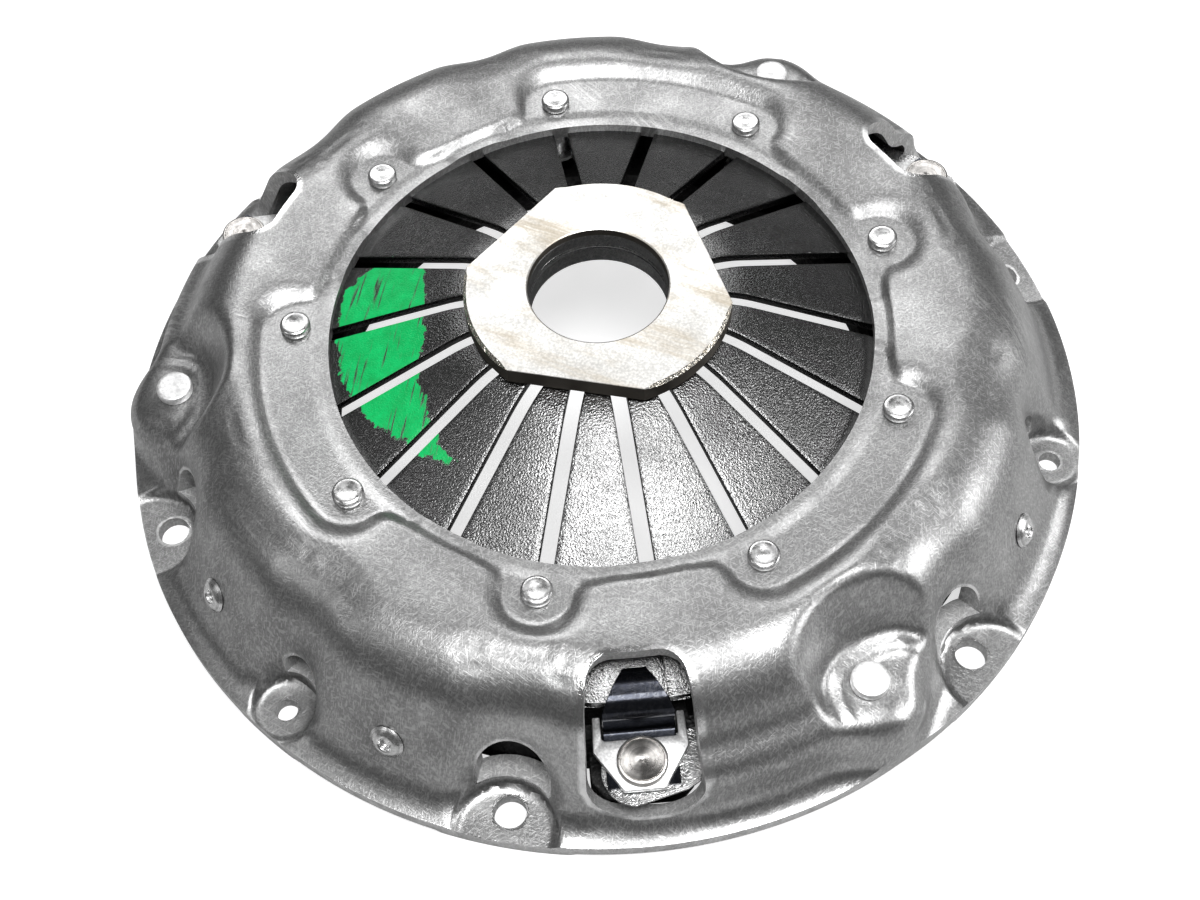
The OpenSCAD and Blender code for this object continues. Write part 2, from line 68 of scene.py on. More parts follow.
# %% Sizes
FLANGE_R, OPENING_R = 136.0, 74.8
SHEET = 4.0
CREST_Z, LAND_Z, FLANGE_Z, PAD_Z = 43.2, 40.0, 5.0, 4.0
SHOULDER_R, WALL_FOOT_R, FOOT_Z = 20.0, 129.5, 8.0
SLOPE = math.radians(63.5)
WALL_REACH = math.sin(SLOPE) * WALL_FOOT_R + math.cos(SLOPE) * FOOT_Z
SHOULDER_Z = CREST_Z - SHOULDER_R
CREST_R = (WALL_REACH - SHOULDER_R - math.cos(SLOPE) * SHOULDER_Z) / math.sin(SLOPE)
FIRST_BOLT, FIRST_DOWEL, FIRST_WINDOW = -90.0, -120.0, -74.5
STRAP_SPAN, STRAP_R, LUG_R, SHELF_Z = 29.0, 120.5, 119.5, 23.4
RIVET_R, BOLT_R, BOLT_HOLE_R, DOWEL_HOLE_R = 84.0, 128.0, 4.25, 3.0
CONE, WIRE_R = math.radians(22), 2.55
RING_R, SPRING_T, SLOT_W, TIP_R, SPRING_R = 89.8, 2.8, 4.0, 24.0, 105.6
print("crest radius", round(CREST_R, 2))


def smooth_step(t):
    """0 before 0, 1 after 1 and a soft S in between."""
    t = np.clip(t, 0, 1)
    return t * t * (3 - 2 * t)


def folded(angle, first, step):
    """The angle from the nearest of a ring of stations that starts at first."""
    return (angle - first + step / 2) % step - step / 2


def soft_min(a, b, k):
    """The lower of two fields, blended over k millimetres as a fillet."""
    h = np.clip(0.5 + 0.5 * (b - a) / k, 0, 1)
    return b + (a - b) * h - k * h * (1 - h)


def soft_max(a, b, k):
    return -soft_min(-a, -b, k)


def place(tree, kind, settings=None, **sockets):
    """Adds a node, with its settings and its inputs, which may be values or other nodes' outputs."""
    made = tree.nodes.new(kind)
    for name, value in (settings or {}).items():
        setattr(made, name, value)
    for name, value in sockets.items():
        socket = made.inputs[int(name[1:])] if name[1:].isdigit() else made.inputs[name.replace("_", " ")]
        if isinstance(value, bpy.types.NodeSocket):
            tree.links.new(value, socket)
        else:
            socket.default_value = value
    return made


# %% [markdown]
# ## Camera
# The photograph looks down at the front bolt from about 57 degrees. The lens and the place of the camera
# were fitted to the nine rivets, the opening and the edge of the flange. The camera is rolled a little.

# %% Camera
LENS_MM, CAMERA_ROLL = 51.45, math.radians(-3.4873)
CAMERA_AT, CAMERA_LOOKS = Vector((0.0649, -0.2742, 0.4181)), Vector((-0.12791, 0.52257, -0.84296))
scene = bpy.context.scene
scene.view_settings.view_transform = "Standard"
camera = bpy.data.objects.new("camera", bpy.data.cameras.new("camera"))
scene.collection.objects.link(camera)
scene.camera = camera
camera.data.sensor_width, camera.data.lens = 36.0, LENS_MM
camera.data.clip_start, camera.data.clip_end = 0.01, 20
forward = CAMERA_LOOKS.normalized()
right = forward.cross(Vector((0, 0, 1))).normalized()
up = right.cross(forward)
turned_right = right * math.cos(CAMERA_ROLL) + up * math.sin(CAMERA_ROLL)
turned_up = up * math.cos(CAMERA_ROLL) - right * math.sin(CAMERA_ROLL)
turned_axes = Matrix((turned_right, turned_up, -forward)).transposed().to_4x4()
camera.matrix_world = Matrix.Translation(CAMERA_AT) @ turned_axes

# %% [markdown]
# ## Floor and light
# The part stands on a white sheet under soft studio light. The floor is a big plane. To the camera it
# glows up to full white, apart from the soft shadow under the flange, but in the metal it is only a plain
# grey sheet, so the background stays white without more light on the part. Bright metal shows what it
# mirrors, so each lamp is placed for the faces that mirror it: one almost overhead for the level faces
# and the front fingers, a wide one behind for the back of the crest, one low on the right for the right
# wall, and a weak one at the left front.

# %% Floor and lamps
def stage_material():
    """White for the camera and plain grey for the metal's reflections."""
    mat = bpy.data.materials.new("white_sheet")
    mat.use_nodes = True
    tree = mat.node_tree
    tree.nodes.clear()
    out = tree.nodes.new("ShaderNodeOutputMaterial")
    sheet = place(tree, "ShaderNodeBsdfDiffuse", Color=(0.5, 0.5, 0.5, 1)).outputs[0]
    glow = place(tree, "ShaderNodeEmission", Strength=0.7).outputs[0]
    rays = place(tree, "ShaderNodeLightPath").outputs
    seen = place(tree, "ShaderNodeMath", {"operation": "ADD", "use_clamp": True},
                 i0=rays["Is Camera Ray"], i1=rays["Is Transmission Ray"]).outputs[0]
    white = place(tree, "ShaderNodeAddShader", i0=sheet, i1=glow).outputs[0]
    mix = place(tree, "ShaderNodeMixShader", i0=seen, i1=sheet, i2=white)
    tree.links.new(mix.outputs[0], out.inputs["Surface"])
    return mat


def soft_lamp(name, at, aim, size, power):
    """A rectangular lamp of this size in metres and this power in watts."""
    lamp = bpy.data.lights.new(name, "AREA")
    lamp.shape = "RECTANGLE"
    lamp.size, lamp.size_y = size
    lamp.energy = power
    lamp_object = bpy.data.objects.new(name, lamp)
    scene.collection.objects.link(lamp_object)
    lamp_object.location = at
    lamp_object.rotation_euler = (Vector(aim) - Vector(at)).to_track_quat("-Z", "Y").to_euler()


bpy.ops.mesh.primitive_plane_add(size=8, location=(0, 0, -0.0002))
floor = bpy.context.object
floor.name = "floor"
floor.data.materials.append(stage_material())
soft_lamp("lamp_above", (0.15, -0.24, 1.1), (0, 0, 0), (0.62, 0.5), 12.0)
soft_lamp("lamp_back", (-0.25, 0.9, 0.97), (0, 0, 0), (1.25, 0.45), 6.0)
soft_lamp("lamp_left", (-0.85, -0.45, 0.85), (0, 0, 0), (0.3, 0.4), 0.9)
soft_lamp("lamp_right", (1.0, 0.12, 0.5), (0, 0, 0.02), (0.6, 0.5), 5.5)
scene.world = bpy.data.worlds.new("studio")
scene.world.use_nodes = True
background = scene.world.node_tree.nodes["Background"]
background.inputs["Color"].default_value = (1, 1, 1, 1)
background.inputs["Strength"].default_value = 0.12

# %% [markdown]
# ## The shape of the pressing
# A press forms the cover from one sheet, so every corner is a fillet and every hollow runs out softly.
# Stacked cylinders can't show that. We write the outer face as a field instead: a number for each point
# of space that is negative inside the dome and positive outside. Hollows and bulges are blended into it
# with soft minimum and maximum, and the blend width is the fillet.


# %% The field of the pressing
LAND_HALF, LAND_FLARE, LONG_LAND_TURN = 9, 8, 20
RIDGE_R, RIDGE_Z, RIDGE_ROUND, BOSS_R, BOSS_ROUND = 128.2, 24.6, 6.5, 14.2, 9.5
FLARE_Z, FLARE_ROUND = 25, 18


def land_end(across, along):
    """How far a point lies outside the round end of a land, which flares towards the opening."""
    flare = LAND_FLARE * smooth_step((-along - 0.5) / LAND_FLARE) ** 2
    return np.where(along > 0, np.hypot(across, along), across - flare) - LAND_HALF


def land_distance(r, angle):
    """How far a point lies outside the nearest riveting land, in plan: three short ones and three long."""
    single = np.radians(folded(angle, FIRST_BOLT, 120))
    short_land = land_end(np.abs(r * np.sin(single)), r * np.cos(single) - RIVET_R)
    beyond = np.radians(np.abs(folded(angle, FIRST_BOLT + 60, 120)) - LONG_LAND_TURN)
    end = land_end(r * np.sin(beyond), r * np.cos(beyond) - RIVET_R)
    long_land = np.where(beyond > 0, end, r - RIVET_R - LAND_HALF)
    return np.minimum(short_land, long_land)


def round_corner(out, rise, radius):
    """Distance from a corner rounded by this radius, from the ways beyond its side and over its top."""
    q, h = out + radius, rise + radius
    return np.hypot(np.maximum(q, 0), np.maximum(h, 0)) + np.minimum(np.maximum(q, h), 0) - radius


def from_strap_rivet(r, angle):
    """The way outwards and the way along the strap from the nearest strap rivet, in plan."""
    to_strap = np.radians(folded(angle, FIRST_WINDOW + STRAP_SPAN, 120))
    return r * np.cos(to_strap) - STRAP_R, r * np.sin(to_strap)


def from_pad(r, angle, first, step, centre_r):
    """How far a point lies from the middle of the nearest pad, in plan."""
    local = np.radians(folded(angle, first, step))
    return np.hypot(r * np.cos(local) - centre_r, r * np.sin(local))


def ridge_and_boss(r, angle, z):
    """The low bulge that gives each drive strap its room, and the boss at its end."""
    local = folded(angle, FIRST_WINDOW + STRAP_SPAN / 2, 120)
    ends = np.radians(np.maximum(-local - STRAP_SPAN / 2 - 1.5, local - STRAP_SPAN / 2 + 2.5)) * r
    ridge = soft_max(round_corner(r - RIDGE_R, z - RIDGE_Z, RIDGE_ROUND), ends, 6)
    from_middle = np.hypot(*from_strap_rivet(r, angle))
    boss = round_corner(from_middle - BOSS_R - 0.09 * (SHELF_Z - z), z - SHELF_Z, BOSS_ROUND)
    return soft_min(ridge, boss, 7)


def shelf_distance(r, angle):
    """How far a point lies outside the seat of the strap rivet, in plan, and its way along the strap."""
    out, along = from_strap_rivet(r, angle)
    seat = np.hypot(out - 13.1, along - 2.8) - 20
    return soft_max(soft_max(seat, -along - 10.8, 5), along - 19, 3), along


# Two rings of flange pads: first angle, step, radius of the middles, radius and lean of the hollow that
# leads the bolt in, and radius of the pad itself
PADS = ((FIRST_BOLT, 60, 134, 13.3, 3.2, 12.2), (FIRST_DOWEL, 120, 128, 8.5, 1.5, 7.6))


def pressing(r, angle, z):
    """Negative inside the cover's outer face, roughly in millimetres."""
    # The plain dome: a crest that sinks towards the opening, a round shoulder and a leaning wall
    out, rise = r - CREST_R, z - SHOULDER_Z
    turn = np.arctan2(rise, out)
    wall = (r - WALL_FOOT_R) * math.sin(SLOPE) + (z - FOOT_Z) * math.cos(SLOPE)
    dish = 1.4 * smooth_step((CREST_R - r) / 22) + 1.8 * smooth_step((80.4 - r) / 2.8)
    field = np.where(turn > math.pi / 2, z - CREST_Z + dish,
                     np.where(turn > math.pi / 2 - SLOPE, np.hypot(out, rise) - SHOULDER_R, wall))
    # The riveting lands are pressed down into the crest, and the strap's bulge stands out of the wall
    land = land_distance(r, angle)
    field = soft_max(field, soft_min((1.2 * (z - LAND_Z) - land) / 1.56, z - LAND_Z, 0.6), 2.6)
    field = soft_min(field, ridge_and_boss(r, angle, z), 6)
    # A hollow over each pad, which flares out round its top
    for first, step, centre_r, hollow_r, lean, _ in PADS:
        low = hollow_r + lean * (z - PAD_Z) / (FLARE_Z - PAD_Z)
        reach = np.clip(z - FLARE_Z, 0, FLARE_ROUND - 0.1)
        flared = hollow_r + lean + FLARE_ROUND - np.sqrt(FLARE_ROUND ** 2 - reach ** 2)
        radius = np.where(z > FLARE_Z, flared, low)
        field = soft_max(field, radius - from_pad(r, angle, first, step, centre_r), 6.5)
    # The shelf of the strap rivet, with a low terrace along its inner rim
    seat, along = shelf_distance(r, angle)
    hollow = 3.0 + 0.45 * (z - SHELF_Z) - seat
    terrace = 1.1 * smooth_step((seat + 2.6) / 1.8)
    terrace = terrace * (1 - smooth_step((-along - 5) / 7)) * (1 - smooth_step((along - 13) / 5))
    fall = 2.4 + 4.6 * smooth_step((-seat - 9) / 9)
    field = soft_max(field, soft_min(hollow / 1.1, z - SHELF_Z - terrace, 2.6), fall)
    # The flange, and the pads that are pressed flat in it
    field = soft_min(field, z - FLANGE_Z, 6.5)
    for first, step, centre_r, _, _, pad_r in PADS:
        side = pad_r - from_pad(r, angle, first, step, centre_r) + 1.2 * np.clip(z - PAD_Z, -1, 1)
        field = soft_max(field, soft_min(side / 1.56, z - PAD_Z, 0.7), 0.9)
    return field


# %% [markdown]
# ## The cover's mesh
# To turn the field into a mesh we shoot rays at it from outside, in a regular fan that follows the
# section from the opening over the shoulder to the flange. Where a ray meets the field's zero is a
# vertex of the outer face, and where it meets minus one sheet thickness is a vertex of the inner face.
# The fan is a grid, so the mesh is one clean closed shell with even quads.


# %% Shoot the cover
def ray_fan(count):
    """Starts and directions of the rays in the half plane (r, z), from the opening to the flange."""
    crest, shoulder, wall, foot = (int(count * share) for share in (0.27, 0.2, 0.25, 0.28))
    away, level = 9.0, math.pi / 2 - SLOPE
    starts = [(r, CREST_Z + away) for r in np.linspace(OPENING_R, CREST_R, crest, endpoint=False)]
    turns = [math.pi / 2] * crest
    reach = SHOULDER_R + away
    for turn in np.linspace(math.pi / 2, level, shoulder, endpoint=False):
        starts.append((CREST_R + reach * math.cos(turn), SHOULDER_Z + reach * math.sin(turn)))
        turns.append(turn)
    top = np.array((CREST_R + reach * math.sin(SLOPE), SHOULDER_Z + reach * math.cos(SLOPE)))
    low = top + 20.5 * np.array((math.cos(SLOPE), -math.sin(SLOPE)))
    last = np.array((FLANGE_R, 12.0))
    starts += [tuple(top + (low - top) * t) for t in np.linspace(0, 1, wall, endpoint=False)]
    starts += [tuple(low + (last - low) * t) for t in np.linspace(0, 1, foot)]
    turns += [level] * wall + [math.pi / 2 - SLOPE * (1 - t ** 0.8) for t in np.linspace(0, 1, foot)]
    return np.array(starts), np.array(turns)


def shoot(level, count, angles):
    """Where each ray of each fan first meets the level of the field: radii and heights."""
    starts, turns = ray_fan(count)
    step = np.stack((-np.cos(turns), -np.sin(turns)), -1)
    angle = np.degrees(angles)[:, None]
    far = np.zeros((len(angles), len(turns)))
    value = pressing(starts[None, :, 0], angle, starts[None, :, 1]) - level
    hit = value < 0
    for _ in range(64):
        far = np.where(hit, far, far + np.clip(value * 0.55, 0.02, 2.5))
        value = np.where(hit, value, pressing(starts[None, :, 0] + step[None, :, 0] * far, angle,
                                              starts[None, :, 1] + step[None, :, 1] * far) - level)
        hit = hit | (value < 0.004)
    return starts[None, :, 0] + step[None, :, 0] * far, starts[None, :, 1] + step[None, :, 1] * far


def skin(n, m, closed=True):
    """The faces between n rings of m points each, and back to the first ring where it is closed."""
    return [(i * m + j, (i + 1) % n * m + j, (i + 1) % n * m + (j + 1) % m, i * m + (j + 1) % m)
            for i in range(n if closed else n - 1) for j in range(m)]


def grid_mesh(name, rings):
    """A closed mesh from rings of points, one ring after another and back to the first."""
    mesh = bpy.data.meshes.new(name)
    mesh.from_pydata([(x * MM, y * MM, z * MM) for ring in rings for x, y, z in ring], [],
                     skin(len(rings), len(rings[0])))
    mesh.validate()
    return mesh


def fan_angles():
    """The angles of the fans over one third: close together over the pads, wider between them."""
    stops = [(FIRST_BOLT - 6.4, 0.24), (FIRST_BOLT + 6.4, 0.68),
             (FIRST_WINDOW + STRAP_SPAN - 8, 0.33), (FIRST_BOLT + 53.6, 0.24), (FIRST_BOLT + 66.4, 0.68),
             (FIRST_DOWEL + 115.6, 0.27), (FIRST_DOWEL + 124.4, 0.68), (FIRST_BOLT + 113.6, 0)]
    runs = [np.linspace(a, b, round((b - a) / step), endpoint=False)
            for (a, step), (b, _) in zip(stops[:-1], stops[1:])]
    return np.radians(np.concatenate(runs))


turns_of_fan = fan_angles()
outer_r, outer_z = shoot(0.0, 80, turns_of_fan)
inner_r, inner_z = shoot(-SHEET, 34, turns_of_fan)
sections_r = np.concatenate((outer_r, inner_r[:, ::-1]), 1)
sections_z = np.concatenate((outer_z, inner_z[:, ::-1]), 1)
loops = []
for third in range(3):
    for k, turn in enumerate(turns_of_fan + third * 2 * math.pi / 3):
        loops.append(np.stack((sections_r[k] * np.cos(turn), sections_r[k] * np.sin(turn),
                               sections_z[k]), -1))
cover_mesh = grid_mesh("cover_pressing", loops)
print("cover grid:", len(cover_mesh.polygons), "faces, highest", round(outer_z.max(), 2))

# %% [markdown]
# ## Helpers for meshes
# A few small tools serve many pieces: one turns a profile about an axis as a lathe does, one cuts a plate
# from an outline, and one makes a piece out of a mesh, with its body and its finish, in place of a CAD node.


# %% Mesh helpers
def turned(profile, steps=48):
    """A closed turned solid from (radius, height) points that start and end on the axis, in millimetres."""
    verts, faces = [], []
    inner = profile[1:-1]
    for k in range(steps):
        a = 2 * math.pi * k / steps
        verts += [(r * math.cos(a), r * math.sin(a), z) for r, z in inner]
    n = len(inner)
    low, high = len(verts), len(verts) + 1
    verts += [(0, 0, profile[0][1]), (0, 0, profile[-1][1])]
    for k in range(steps):
        here, there = k * n, (k + 1) % steps * n
        faces += [(here + j, there + j, there + j + 1, here + j + 1) for j in range(n - 1)]
        faces += [(low, there, here), (high, here + n - 1, there + n - 1)]
    return verts, faces


def slab(outline, low, high):
    """A closed plate with this outline, wound anticlockwise, between two heights."""
    n = len(outline)
    verts = [(x, y, low) for x, y in outline] + [(x, y, high) for x, y in outline]
    faces = [tuple(range(n - 1, -1, -1)), tuple(range(n, 2 * n))]
    faces += [(k, (k + 1) % n, n + (k + 1) % n, n + k) for k in range(n)]
    return verts, faces


def rounded(points, radii, steps=6):
    """An outline with its corners rounded, each by its own radius."""
    out = []
    for k, p in enumerate(points):
        p, radius = Vector(p), radii[k]
        to_last = (Vector(points[k - 1]) - p).normalized()
        to_next = (Vector(points[(k + 1) % len(points)]) - p).normalized()
        half = to_last.angle(to_next) / 2
        start = p + to_last * (radius / math.tan(half))
        end = p + to_next * (radius / math.tan(half))
        centre = p + (to_last + to_next).normalized() * (radius / math.sin(half))
        a, b = start - centre, end - centre
        for t in range(steps + 1):
            way = a.lerp(b, t / steps)
            out.append(tuple(centre + way.normalized() * radius))
    return out


def mesh_of(name, parts, placed=Matrix.Identity(4), scale=MM):
    """A mesh from (verts, faces) pairs in millimetres, put in its place."""
    verts, faces, own, around = [], [], [], []
    turn = placed.to_3x3() if scale == MM else Matrix.Identity(3)
    for v, f in parts:
        base = len(verts)
        verts += [tuple(placed @ (Vector(p) * scale)) for p in v]
        own += [c * scale for p in v for c in p]
        around += [c for p in v for c in turn @ Vector((-p[1], p[0], 0)).normalized()]
        faces += [tuple(base + i for i in face) for face in f]
    mesh = bpy.data.meshes.new(name)
    mesh.from_pydata(verts, [], faces)
    mesh.validate()
    mesh.attributes.new("local", "FLOAT_VECTOR", "POINT").data.foreach_set("vector", own)
    mesh.attributes.new("around", "FLOAT_VECTOR", "POINT").data.foreach_set("vector", around)
    return mesh


def faced(mesh):
    """Turns all faces outward."""
    made = bmesh.new()
    made.from_mesh(mesh)
    bmesh.ops.recalc_face_normals(made, faces=made.faces)
    made.to_mesh(mesh)
    made.free()
    return mesh


def piece(name, mesh, body, material, smooth=35, replaces=None):
    """Puts a mesh in the scene as a piece that rides on a body, shows a finish and replaces a CAD node."""
    made = bpy.data.objects.new(name, mesh)
    scene.collection.objects.link(made)
    if material is not None:
        mesh.materials.clear()
        mesh.materials.append(material)
    if smooth:
        mesh.shade_smooth()
        mesh.set_sharp_from_angle(angle=math.radians(smooth))
    if body:
        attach(made, body)
    if replaces:
        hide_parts(replaces)
    return made


def apply_modifiers(made):
    """Replaces the object's mesh with what its modifiers make of it."""
    graph = bpy.context.evaluated_depsgraph_get()
    graph.update()
    mesh = bpy.data.meshes.new_from_object(made.evaluated_get(graph))
    made.modifiers.clear()
    made.data = mesh
    return mesh


def station(angle, r=0.0, z=0.0):
    """The place at an angle on the cover, turned so that +X points outwards."""
    return Matrix.Rotation(math.radians(angle), 4, "Z") @ Matrix.Translation((r * MM, 0, z * MM))


# %% [markdown]
# ## Finishes
# Every metal here is one shader with three things laid over it: a cloudy tone, a grain of fine marks and a
# rub on raised edges, which also paints a highlight on them and shade in the hollows. They are node groups,
# so that each finish can use them at its own strength.
# The groups put out only values. The shader itself stays in each material.

# %% Node helpers
def new_group(name, inputs, outputs):
    tree = bpy.data.node_groups.new(name, "ShaderNodeTree")
    for label, kind, value in inputs:
        socket = tree.interface.new_socket(label, in_out="INPUT", socket_type=kind)
        if value is not None:
            socket.default_value = value
    for label in outputs:
        tree.interface.new_socket(label, in_out="OUTPUT", socket_type="NodeSocketFloat")
    return tree, tree.nodes.new("NodeGroupInput"), tree.nodes.new("NodeGroupOutput")


def maths(tree, how, a, b=None, clamp=False):
    second = {} if b is None else {"i1": b}
    return place(tree, "ShaderNodeMath", {"operation": how, "use_clamp": clamp}, i0=a, **second).outputs[0]


def times(tree, a, b):
    return maths(tree, "MULTIPLY", a, b)


def plus(tree, a, b):
    return maths(tree, "ADD", a, b)


def spread(tree, value, low, high, to_low=0.0, to_high=1.0):
    """A soft step of a value between two limits."""
    return place(tree, "ShaderNodeMapRange", {"interpolation_type": "SMOOTHSTEP"}, Value=value,
                 i1=low, i2=high, i3=to_low, i4=to_high).outputs[0]


FLOAT, VECTOR = "NodeSocketFloat", "NodeSocketVector"

# %% [markdown]
# The first group is the grain of handled steel. Two noises of unlike size give the clouds and the grain.
# For the fine marks a noise is squeezed hard along one axis, so it turns into short hairs, and a slow
# noise bends their direction from place to place.

# %% Grain group
grain, enter, leave = new_group("steel_grain", [("Vector", VECTOR, None), ("Cloud Size", FLOAT, 30.0),
                                                ("Grain Size", FLOAT, 1500.0)],
                                ["Cloud", "Grain", "Hairs"])
at = enter.outputs["Vector"]
cloud = place(grain, "ShaderNodeTexNoise", Vector=at, Scale=enter.outputs["Cloud Size"], Detail=4.0,
              Roughness=0.6)
fine = place(grain, "ShaderNodeTexNoise", Vector=at, Scale=enter.outputs["Grain Size"], Detail=2.0)
bend = place(grain, "ShaderNodeTexNoise", Vector=at, Scale=25.0, Detail=1.0)
swing = place(grain, "ShaderNodeVectorMath", {"operation": "SCALE"}, i0=bend.outputs["Color"], Scale=0.008)
bent = place(grain, "ShaderNodeVectorMath", {"operation": "ADD"}, i0=at, i1=swing.outputs[0])
strands = []
for turn in (0.2, 1.3, 2.4):
    laid = place(grain, "ShaderNodeMapping", {"vector_type": "TEXTURE"}, Vector=bent.outputs[0],
                 Rotation=(0.3, 0.2, turn), Scale=(1 / 3400, 1 / 520, 1 / 520))
    hair = place(grain, "ShaderNodeTexNoise", Vector=laid.outputs[0], Scale=1.0, Detail=0.0)
    strands.append(spread(grain, hair.outputs["Fac"], 0.6, 0.76))
hairs = maths(grain, "MAXIMUM", maths(grain, "MAXIMUM", strands[0], strands[1]), strands[2])
grain.links.new(cloud.outputs["Fac"], leave.inputs["Cloud"])
grain.links.new(fine.outputs["Fac"], leave.inputs["Grain"])
grain.links.new(hairs, leave.inputs["Hairs"])

# %% [markdown]
# The second group is the rub with painted light. Each big mesh carries an attribute worked out from how
# sharply the surface bends: above zero on a raised edge, below zero in a hollow. Raised edges are made
# lighter, partly as polish from handling and partly as a painted highlight, and hollows are made darker,
# partly as dirt and partly as painted shade. A noise breaks the lighter edges up so that they don't look
# even.

# %% Rub and painted light group
wear_and_light_group, enter, leave = new_group("edge_wear_and_painted_light", [("Vector", VECTOR, None), ("Amount", FLOAT, 1.0)],
                                  ["Raised", "Hollow"])
read = place(wear_and_light_group, "ShaderNodeAttribute", {"attribute_name": "rub"})
patch = place(wear_and_light_group, "ShaderNodeTexNoise", Vector=enter.outputs["Vector"], Scale=160.0, Detail=5.0,
              Roughness=0.65)
broken = spread(wear_and_light_group, patch.outputs["Fac"], 0.35, 0.62, 0.25, 1.0)
# Raised edges turn lighter, partly wear and partly a painted highlight; hollows turn darker, partly dirt and
# partly painted shade.
raised = times(wear_and_light_group, spread(wear_and_light_group, read.outputs["Fac"], 0.12, 0.75), broken)
raised = maths(wear_and_light_group, "MULTIPLY", raised, enter.outputs["Amount"], True)
hollow = spread(wear_and_light_group, times(wear_and_light_group, read.outputs["Fac"], -1.0), 0.1, 0.8)
wear_and_light_group.links.new(raised, leave.inputs["Raised"])
wear_and_light_group.links.new(hollow, leave.inputs["Hollow"])


# %% [markdown]
# One function then makes a metal from its own values. The cloud moves the colour a little and the
# roughness more, because that is how oil film and handling show on steel. Grain and hairs also feed a
# bump, so a lamp's reflection breaks up into sparkle.


# %% Metal finish
def blend_colour(tree, factor, first, second):
    return place(tree, "ShaderNodeMix", {"data_type": "RGBA"}, i0=factor, i6=first, i7=second).outputs[2]


def grey(value, warm=0.0):
    return (value * (1 + warm), value, value * (1 - warm), 1)


def metal(name, dark, light, rough, metallic=1.0, cloud_size=30.0, grain_size=1500.0, cloudy=0.5,
          bump=0.05, hairs=0.25, rub=0.0, worn_and_highlight_tone=0.8, rough_swing=0.12, coat=0.0, scuffs=0.0):
    """A steel finish: from a dark to a light tone, with its grain, hairs and rub; the rub also paints a
    highlight on raised edges and shade in hollows.
    """
    mat = bpy.data.materials.new(name)
    mat.use_nodes = True
    tree = mat.node_tree
    shader = tree.nodes["Principled BSDF"]
    shader.inputs["Metallic"].default_value = metallic
    shader.inputs["Coat Weight"].default_value = coat
    where = place(tree, "ShaderNodeTexCoord").outputs["Object"]
    marks = place(tree, "ShaderNodeGroup", {"node_tree": grain}, Vector=where, Cloud_Size=cloud_size,
                  Grain_Size=grain_size)
    cloud_mask = spread(tree, marks.outputs["Cloud"], 0.2, 0.8)
    tone = blend_colour(tree, times(tree, cloud_mask, cloudy), dark, light)
    speck = spread(tree, marks.outputs["Grain"], 0.3, 0.7, 0.82, 1.12)
    speckled = place(tree, "ShaderNodeVectorMath", {"operation": "SCALE"}, i0=tone, Scale=speck).outputs[0]
    final = blend_colour(tree, times(tree, marks.outputs["Hairs"], hairs), speckled, grey(worn_and_highlight_tone))
    if scuffs:
        area = place(tree, "ShaderNodeTexNoise", Vector=where, Scale=21.0, Detail=3.0, Roughness=0.7)
        strokes = place(tree, "ShaderNodeMapping", {"vector_type": "TEXTURE"}, Vector=where,
                        Rotation=(0.5, 0.3, 0.9), Scale=(1 / 1500, 1 / 90, 1 / 120))
        stroke = place(tree, "ShaderNodeTexNoise", Vector=strokes.outputs[0], Scale=1.0, Detail=3.0,
                       Roughness=0.6)
        worn = times(tree, spread(tree, area.outputs["Fac"], 0.6, 0.7),
                     spread(tree, stroke.outputs["Fac"], 0.5, 0.62))
        final = blend_colour(tree, times(tree, worn, scuffs), final, grey(0.85))
    roughness = spread(tree, marks.outputs["Cloud"], 0.25, 0.75, rough + rough_swing, rough - rough_swing)
    if rub:
        # The lighter raised edges are partly wear and partly a painted highlight; the darker hollows are
        # partly dirt and partly painted shade.
        wear_and_light = place(tree, "ShaderNodeGroup", {"node_tree": wear_and_light_group}, Vector=where, Amount=rub)
        final = blend_colour(tree, wear_and_light.outputs["Raised"], final, grey(worn_and_highlight_tone))
        dirt_and_shade = times(tree, wear_and_light.outputs["Hollow"], 0.35)
        final = blend_colour(tree, dirt_and_shade, final, grey(0.05))
        smoother = times(tree, wear_and_light.outputs["Raised"], 0.5 * rough)
        roughness = maths(tree, "SUBTRACT", roughness, smoother)
    tree.links.new(final, shader.inputs["Base Color"])
    tree.links.new(roughness, shader.inputs["Roughness"])
    height = maths(tree, "SUBTRACT", marks.outputs["Grain"], times(tree, marks.outputs["Hairs"], 2 * hairs))
    relief = place(tree, "ShaderNodeBump", Height=height, Strength=bump, Distance=0.0004)
    tree.links.new(relief.outputs[0], shader.inputs["Normal"])
    return mat


pressed_steel = metal("pressed_steel", grey(0.2), grey(0.46), 0.4, cloud_size=26.0, bump=0.12,
                      cloudy=0.9, hairs=0.26, rub=0.9, worn_and_highlight_tone=0.8, scuffs=0.3)
cut_steel = metal("cut_steel", grey(0.3), grey(0.62), 0.5, metallic=0.35, cloud_size=200.0, bump=0.2,
                  hairs=0.4)


# %% [markdown]
# ## Cutting the cover
# Windows, vents and bolt holes are punched through the finished pressing, so they are cut from the
# closed shell with a boolean. All the punches are one mesh with the finish of a cut edge, which the
# boolean leaves on the walls of the holes.


# %% Punches
def prism_along(outline, start, end):
    """A prism along X with its outline in Y and Z."""
    verts, faces = slab(outline, start, end)
    return [(z, x, y) for x, y, z in verts], faces


def placed(part, matrix):
    verts, faces = part
    return [tuple(matrix @ Vector(v)) for v in verts], faces


def turn_to(angle):
    return Matrix.Rotation(math.radians(angle), 3, "Z")


def disc(radius, x, steps=40):
    return [(x + radius * math.cos(a), radius * math.sin(a))
            for a in np.linspace(0, 2 * math.pi, steps, endpoint=False)]


def arch(width, foot, top):
    """A vent's outline: straight sides under a round top."""
    half = width / 2
    crown = [(half * math.cos(a), top - half + half * math.sin(a)) for a in np.linspace(0, math.pi, 20)]
    return [(-half, foot), (half, foot)] + crown


WINDOW_MIDDLE_R = 118


